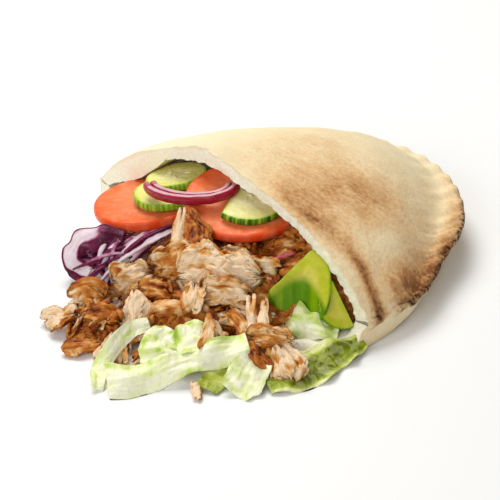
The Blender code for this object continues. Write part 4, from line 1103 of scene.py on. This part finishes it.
def onion_layer(inner, outer, steps=110, ring=20):
    up = unit(np.cross(ONION_FORWARD, ONION_ALONG))
    middle, half = (inner + outer) / 2, (outer - inner) / 2
    points, skin, across, along = [], [], [], []
    for k in range(steps + 1):
        angle = math.radians(-6.0 + 192.0 * k / steps)
        heading = ONION_FORWARD * math.cos(angle) - ONION_ALONG * math.sin(angle)
        outward = unit(np.cross(up, heading))
        place = ONION_CENTRE + ONION_ALONG * math.cos(angle) + ONION_FORWARD * math.sin(angle)
        pinch = 0.45 + 0.55 * min(1.0, min(k, steps - k) / steps / 0.06)
        for j in range(ring):
            c, s = math.cos(2 * math.pi * j / ring), math.sin(2 * math.pi * j / ring)
            u = math.copysign(abs(c) ** 0.5, c)
            w = math.copysign(abs(s) ** 0.35, s)
            r = middle + half * u * pinch + 0.4 * (1 - w * w)
            points.append(place + outward * r + up * (w * ONION_HEIGHT * pinch)
                          + up * 0.35 * uneven(k / 9.0, inner, 3.0))
            side = 1.0 - float(step(w, 0.90, 1.0))
            skin.append((max(0.0, u) + 0.45 * max(0.0, -u)) * side
                        + (0.35 if k > 0.86 * steps else 0.0))
            across.append(r)
            along.append(k)
    faces = tube_faces(steps, ring)
    faces += [tuple(range(ring)), tuple(range(steps * ring, (steps + 1) * ring))]
    return points, faces, skin, across, along


ONION_SKIN = onion_material()
points, faces, skin, across, along = joined([onion_layer(*layer) for layer in ONION_LAYERS])
onion = make_piece("red_onion_half_ring", points, faces, ONION_SKIN, crease=50, skin=skin,
                   across=across, along=along)
dress(onion, "red_onion", "red_onion_ring")
points, faces, tone, flow, cross = torn_slice(
    [(40, -17, 23.8), (48, -10, 26.8), (55, -3, 29.5)], 6.4, 2.0, 0.5, -0.8, 0.1,
    (0.5, -0.6, 0.6), 9, 0.4, 0.03)
onion_strip = make_piece("red_onion_loose_strip", points, faces, ONION_SKIN,
                         skin=[1.05] * len(points), across=cross, along=flow)
dress(onion_strip, "red_onion", "red_onion_strip")

# RED CABBAGE
# Finely cut red cabbage: a curled piece of leaf, a flat one and a tangle of shreds over
# chopped bits. The skin is a deep purple; ribs and cut faces are white to lilac.
NOTCH_PLACE = 0.56
NOTCH_WIDTH = 0.06


def cabbage_material():
    material, tree, shader = shader_nodes("cabbage_purple", 0.3, 0.16, 0.06, (0.8, 0.3, 0.8))
    place = object_place(tree)
    fine = mottle(tree, place, 350.0, 0.3, 0.7, 4.0, 0.5)
    soft = mottle(tree, place, 150.0, 0.35, 0.65, 3.0, 0.8)
    colour = colour_ramp(tree, toned(tree, "pale", 0.10, soft, 0.22),
                         (0.0, (0.080, 0.006, 0.028)), (0.30, (0.19, 0.016, 0.065)),
                         (0.5, (0.38, 0.10, 0.21)), (0.72, (0.60, 0.42, 0.50)),
                         (1.0, (0.74, 0.63, 0.67)))
    cover(tree, shader, colour, times(tree, fine, 0.25, 0.2), times(tree, soft, 0.5, fine),
          0.3, 0.3)
    return material


def thin_leaf(path, widths, face, ruffle, waves, seed, thickness, stations=60, ribs=26, cup=0.0,
              crinkle=0.0, ragged=0.06, notch=0.0):
    """A thin wavy leaf as a closed solid, both faces split into the same triangles."""
    shift = random.Random(seed).uniform(0.0, 60.0)
    upper, under, along_leaf = [], [], []
    for i in range(stations + 1):
        t = i / stations
        place, across, up = spline_frame(path, t, face)
        width = spline([(w, 0.0) for w in widths], t)[0]
        edges = [1.0 + ragged * 2.0 * noise.fractal(Vector((t * 4.0, side * 4.0, shift)), 0.9, 2.0, 3)
                 for side in (-1, 1)]
        for j in range(ribs + 1):
            w = 2.0 * j / ribs - 1.0
            edge = edges[0] if w < 0 else edges[1]
            edge *= 1.0 - notch * bell(t, NOTCH_PLACE, NOTCH_WIDTH)
            wave = ruffle * abs(w) ** 1.4 * math.sin(2 * math.pi * waves * t + (1.9 if w > 0 else 0.0))
            x, y = t * 40.0, w * width / 2.0
            blister = crinkle * (2.4 * uneven(x / 9.0, y / 7.0, shift + 7.0)
                                 + 0.5 * uneven(x / 9.0, y / 1.5, shift + 9.0))
            point = place + across * (y * edge) + up * (wave + blister + cup * w * w)
            upper.append(point + up * thickness / 2)
            under.append(point - up * thickness / 2)
            along_leaf.append((w, t))
    return upper + under, sheet_faces(stations, ribs, split=True), along_leaf * 2


def shred_tree():
    """Sweeps a flat strip along each path, with a little wave of its own."""
    tree, given = growing_tree("cabbage_shreds", {"Spacing": 0.0009, "Thickness": 0.55,
                                                  "Wave": 0.0016, "Wave Size": 160.0})
    curve = put(tree, "GeometryNodeMeshToCurve", {"Mesh": given["Geometry"]})
    even = put(tree, "GeometryNodeResampleCurve", {"Curve": curve, "Length": given["Spacing"]},
               mode="LENGTH")
    sway = put(tree, "ShaderNodeTexNoise", {"Scale": given["Wave Size"]}, "Color")
    centred = put(tree, "ShaderNodeVectorMath", {0: sway, 1: (0.5, 0.5, 0.5)}, "Vector",
                  operation="SUBTRACT")
    push = put(tree, "ShaderNodeVectorMath", {0: centred, "Scale": given["Wave"]}, "Vector",
               operation="SCALE")
    moved = put(tree, "GeometryNodeSetPosition", {"Geometry": even, "Offset": push})
    profile = put(tree, "GeometryNodeCurvePrimitiveQuadrilateral", {"Width": 2.0,
                                                                    "Height": given["Thickness"]})
    half_width = put(tree, "GeometryNodeInputNamedAttribute", {"Name": "half_width"}, "Attribute",
                     data_type="FLOAT")
    return finish_tree(tree, given, put(tree, "GeometryNodeCurveToMesh", {
        "Curve": moved, "Profile Curve": profile, "Scale": half_width, "Fill Caps": True}))


SHREDS = [
    ([(-12, -16, 24), (-14, -33, 22.5), (-15, -48, 16.5), (-15, -60, 8)], 3.4, 0.15),
    ([(-24, -24, 18), (-17, -36, 21.5), (-15, -52, 14.5), (-10, -63, 7)], 3.0, 0.80),
    ([(-6, -20, 25.5), (-9, -34, 23.5), (-10, -46, 17)], 3.6, 0.75),
    ([(-30, -34, 17), (-22, -44, 15.5), (-14, -52, 10)], 4.0, 0.15),
    ([(-34, -40, 15), (-26, -32, 17), (-18, -22, 18)], 3.6, 0.85),
    ([(-20, -56, 12), (-12, -58, 10), (-4, -66, 8)], 3.2, 0.1),
    ([(-38, -46, 14), (-30, -50, 12), (-20, -54, 9)], 3.8, 0.2),
    ([(-42, -58, 13), (-34, -62, 7), (-26, -58, 3), (-16, -58, 3)], 3.2, 0.1),
    ([(-16, -20, 22), (-20, -36, 19), (-24, -50, 10)], 2.8, 0.5),
    ([(-2, -22, 28), (-6, -36, 25), (-12, -52, 17), (-16, -64, 6)], 2.4, 0.85),
    ([(-8, -18, 27), (-12, -34, 24.5), (-18, -50, 15), (-24, -60, 6)], 2.2, 0.12)]
rng = random.Random(12)
for k in range(26):
    around, out = rng.uniform(0.0, 2 * math.pi), rng.uniform(0.2, 1.0)
    x, y = -21 + 13 * out * math.cos(around), -42 + 18 * out * math.sin(around)
    z = 4.0 + 14.0 * math.sqrt(1.0 - 0.8 * out * out) + rng.uniform(-1.5, 1.0)
    turn = rng.uniform(0.6, 2.4)
    run = np.array([math.cos(turn), -math.sin(turn), -0.25]) * rng.uniform(5.0, 10.0)
    SHREDS.append(([(x, y, z) - run, (x, y, z + 1.5), (x, y, z) + run], rng.uniform(1.6, 2.8),
                   rng.choice((0.1, 0.2, 0.5, 0.85))))
CABBAGE_SKIN = cabbage_material()
path_points, path_edges, half_widths, pale_marks = [], [], [], []
for path, width, pale in SHREDS:
    for t in np.linspace(0.0, 1.0, 15):
        if t:
            path_edges.append((len(path_points) - 1, len(path_points)))
        path_points.append(spline(path, t))
        tapered = 0.45 + 0.55 * math.sin(math.pi * min(max(t, 0.08), 0.92))
        half_widths.append(width / 2.0 * tapered * MM)
        pale_marks.append(pale)
paths = bpy.data.meshes.new("shred_paths")
paths.from_pydata(in_frame(path_points).tolist(), path_edges, [])
set_mark(paths, "half_width", half_widths)
set_mark(paths, "pale", pale_marks)
cabbage = grown_piece(link_object("shred_paths", paths), shred_tree(), "red_cabbage_tangle",
                      CABBAGE_SKIN)

CURLS = (([(-25, -38, 19), (-33, -45, 20), (-38, -52, 17), (-35, -58, 12), (-27, -55, 9)],
          (10, 14, 14, 12, 9), (0.45, -0.3, 0.84), 1.0, 2.0, 31, -2.0),
         ([(-44, -52, 8), (-38, -50, 9), (-30, -47, 9), (-22, -46, 8)],
          (10, 16, 16, 12), (0.2, -0.3, 0.93), 1.2, 1.6, 33, 2.0))
for path, widths, face, ruffle, waves, seed, cup in CURLS:
    points, faces, along_leaf = thin_leaf(path, widths, face, ruffle, waves, seed, 1.2, 70, 24, cup,
                                          0.8, 0.15, 0.35)
    w, t = np.array(along_leaf).T
    # pale in a band along each curl; the dark purple round it is partly the leaf's own skin and partly
    # painted shade inside the curl
    pale = step(t, 0.20, 0.34) * (1.0 - step(w, -0.1, 0.3)) * (1.0 - step(-w, 0.80, 0.90))
    pale += [0.12 * uneven(t * 4.0, w * 2.0, seed) for w, t in along_leaf]
    curl = make_piece("cabbage_curl", points, faces, CABBAGE_SKIN, lowest=0.2,
                      pale=np.clip(pale, 0.0, 1.0))
    join_into(cabbage, curl)
dress(cabbage, "red_cabbage", "red_cabbage")

# LETTUCE
# Torn iceberg lettuce: crisp leaves with soft folds, nearly white along the rib and
# yellow green in patches, thin enough for light to shine through. They lie under the
# spilled meat and the lower lip.


def lettuce_material(name, rib, middle, margin, deep):
    material, tree, shader = shader_nodes(name, 0.34, 0.17, 0.10, (0.8, 1.0, 0.4))
    place = object_place(tree)
    fine = mottle(tree, place, 380.0, 0.3, 0.7, 4.0, 0.5)
    soft = mottle(tree, place, 110.0, 0.35, 0.68, 4.0, 1.2)
    veins = mottle(tree, place, 150.0, 0.47, 0.54, 2.0, 1.6)
    colour = colour_ramp(tree, toned(tree, "green", 0.12, soft, 0.4), (0.0, rib), (0.35, middle),
                         (0.7, margin), (1.0, deep))
    colour = blend_colour(tree, times(tree, veins, 0.2), colour, rib)
    cover(tree, shader, colour, times(tree, fine, 0.25, 0.22), times(tree, veins, 0.8, fine),
          0.4, 0.5)
    return material


LEAF_PALE = lettuce_material("lettuce_pale", (0.93, 0.93, 0.68), (0.84, 0.89, 0.46),
                             (0.60, 0.74, 0.18), (0.32, 0.50, 0.03))
# a darker yellow-green copy: the own green of the small pieces, and painted shade on the right leaf
# under the lower lip
LEAF_GREEN_AND_SHADE = lettuce_material("lettuce_green_and_painted_shade", (0.84, 0.84, 0.42), (0.50, 0.57, 0.08),
                             (0.27, 0.33, 0.010), (0.12, 0.15, 0.002))
# Each row: node, path, widths, facing, ruffle, waves, seed, cup, folds, greenness and
# painted shade in the middle and at the margin, material.
LEAVES = [
    ("lettuce_front_leaf", [(43, -101, 4.5), (52, -87, 5.5), (58, -72, 9), (65, -59, 11),
                            (71, -49, 12.5)],
     (18, 14, 11, 12.5, 12), (0.5, -0.42, 0.76), 1.8, 2.6, 41, -1.5, 1.2, 0.05, 0.4, LEAF_PALE),
    ("lettuce_ribbon", [(40, -104, 1.8), (33, -97, 4), (28, -86, 7.5), (27, -76, 11), (30, -68, 12)],
     (5, 7, 8, 7, 6), (0.75, -0.35, 0.55), 0.8, 1.5, 42, 0.0, 0.4, 0.1, 0.2, LEAF_PALE),
    ("lettuce_torn_left", [(47, -78, 5), (42, -72, 10), (41, -65, 14)],
     (14, 17, 8), (0.5, -0.5, 0.7), 1.5, 1.6, 43, -1.5, 1.0, 0.1, 0.4, LEAF_PALE),
    ("lettuce_torn_right", [(57, -66, 10), (50, -62, 13), (46, -56, 15)],
     (13, 15, 9), (0.5, -0.5, 0.7), 1.5, 1.4, 44, -1.5, 1.0, 0.1, 0.5, LEAF_PALE),
    ("lettuce_ribbed_piece", [(80, -66, 1.8), (79, -58, 5), (76, -50, 8)],
     (13, 17, 14), (0.5, -0.45, 0.74), 0.8, 1.2, 45, 1.0, 0.6, 0.1, 0.3, LEAF_PALE),
    ("lettuce_yellow_piece", [(71, -72, 1.6), (68, -64, 3.4), (64, -56, 4.5)],
     (9, 12, 10), (0.4, -0.4, 0.82), 0.6, 1.0, 46, 0.0, 0.5, 0.5, 0.6, LEAF_GREEN_AND_SHADE),
    # the right leaf's dark olive middle is painted shade under the lower lip
    ("lettuce_right_leaf", [(84, -52, 2.4), (89, -38, 3), (90, -24, 3.5), (91, -12, 3.5), (93, -3, 5)],
     (13, 20, 17, 13, 6), (0.25, -0.1, 0.96), 1.5, 3.0, 47, 0.0, 0.8, 0.85, 0.0, LEAF_GREEN_AND_SHADE),
    ("lettuce_inner_leaf", [(50, -22, 12.4), (61, -20, 12), (73, -17, 9.5), (84, -9, 7.4)],
     (10, 15, 13, 7), (0.4, -0.45, 0.8), 1.3, 4.0, 48, 0.0, 1.3, 0.25, 0.5, LEAF_PALE),
    ("lettuce_green_bit", [(70, -7, 9.5), (76, -9, 8.6), (81, -11, 8.2)],
     (6, 7, 4), (0.5, -0.4, 0.77), 0.4, 1.0, 49, 0.0, 0.3, 0.5, 0.7, LEAF_GREEN_AND_SHADE)]
for node, path, widths, face, ruffle, waves, seed, cup, folds, inner, outer, material in LEAVES:
    points, faces, along_leaf = thin_leaf(path, widths, face, ruffle, waves, seed, 0.9, 90, 40,
                                          cup, folds)
    patches = 0.9 if material is LEAF_PALE else 0.35
    green = [inner + (outer - inner) * float(step(abs(w + 0.1), 0.45, 0.95))
             + patches * uneven(t * 5.0, w * 1.5, seed) for w, t in along_leaf]
    leaf = make_piece(node + "_blade", points, faces, material, lowest=0.1,
                      green=np.clip(green, 0.0, 1.0))
    dress(leaf, "lettuce", node)

# TABLE, LIGHT AND CAMERA
# A white table under soft lights: the main one high on the left and behind, a weak one
# in front, so the shadow falls softly to the lower right.
bpy.ops.mesh.primitive_plane_add(size=8.0)
table = bpy.context.object
table.name = "white_table"
table_paint, tree, shader = shader_nodes("table_white", 0.6, 0.1)
cloud = mottle(tree, object_place(tree), 3.0, 0.3, 0.7)
tree.links.new(blend_colour(tree, cloud, (0.90, 0.90, 0.90), (0.92, 0.92, 0.92)),
               shader.inputs["Base Color"])
table.data.materials.append(table_paint)

world = bpy.data.worlds.new("studio")
world.use_nodes = True
world.node_tree.nodes["Background"].inputs["Color"].default_value = (1.0, 1.0, 1.0, 1.0)
world.node_tree.nodes["Background"].inputs["Strength"].default_value = 0.26
bpy.context.scene.world = world


def softbox(name, place, aim, size, power, colour=(1.0, 1.0, 1.0)):
    light = bpy.data.lights.new(name, "AREA")
    light.shape = "RECTANGLE"
    light.size, light.size_y = size
    light.energy = power
    light.color = colour
    lamp = link_object(name, light)
    lamp.location = place
    lamp.rotation_euler = (Vector(aim) - Vector(place)).to_track_quat("-Z", "Y").to_euler()


softbox("key_light", (-0.52, 0.18, 1.0), (0.0, 0.0, 0.03), (0.7, 0.7), 11.6, (1.0, 0.98, 0.94))
softbox("front_fill", (0.35, -1.0, 0.6), (0.0, 0.0, 0.02), (0.9, 0.6), 7.0)

CAMERA_PLACE = (403.07, -358.68, 320.0)
CAMERA_TARGET = (-1.82, 19.82, 0.0)
camera_data = bpy.data.cameras.new("photo_camera")
camera_data.lens = 96.0
camera_data.sensor_width = 36.0
camera_data.clip_start = 0.01
camera = link_object("photo_camera", camera_data)
camera.location = Vector(in_frame(CAMERA_PLACE))
aim = Vector(in_frame(CAMERA_TARGET))
camera.rotation_euler = (aim - camera.location).to_track_quat("-Z", "Y").to_euler()
bpy.context.scene.camera = camera
bpy.context.scene.view_settings.view_transform = "Standard"
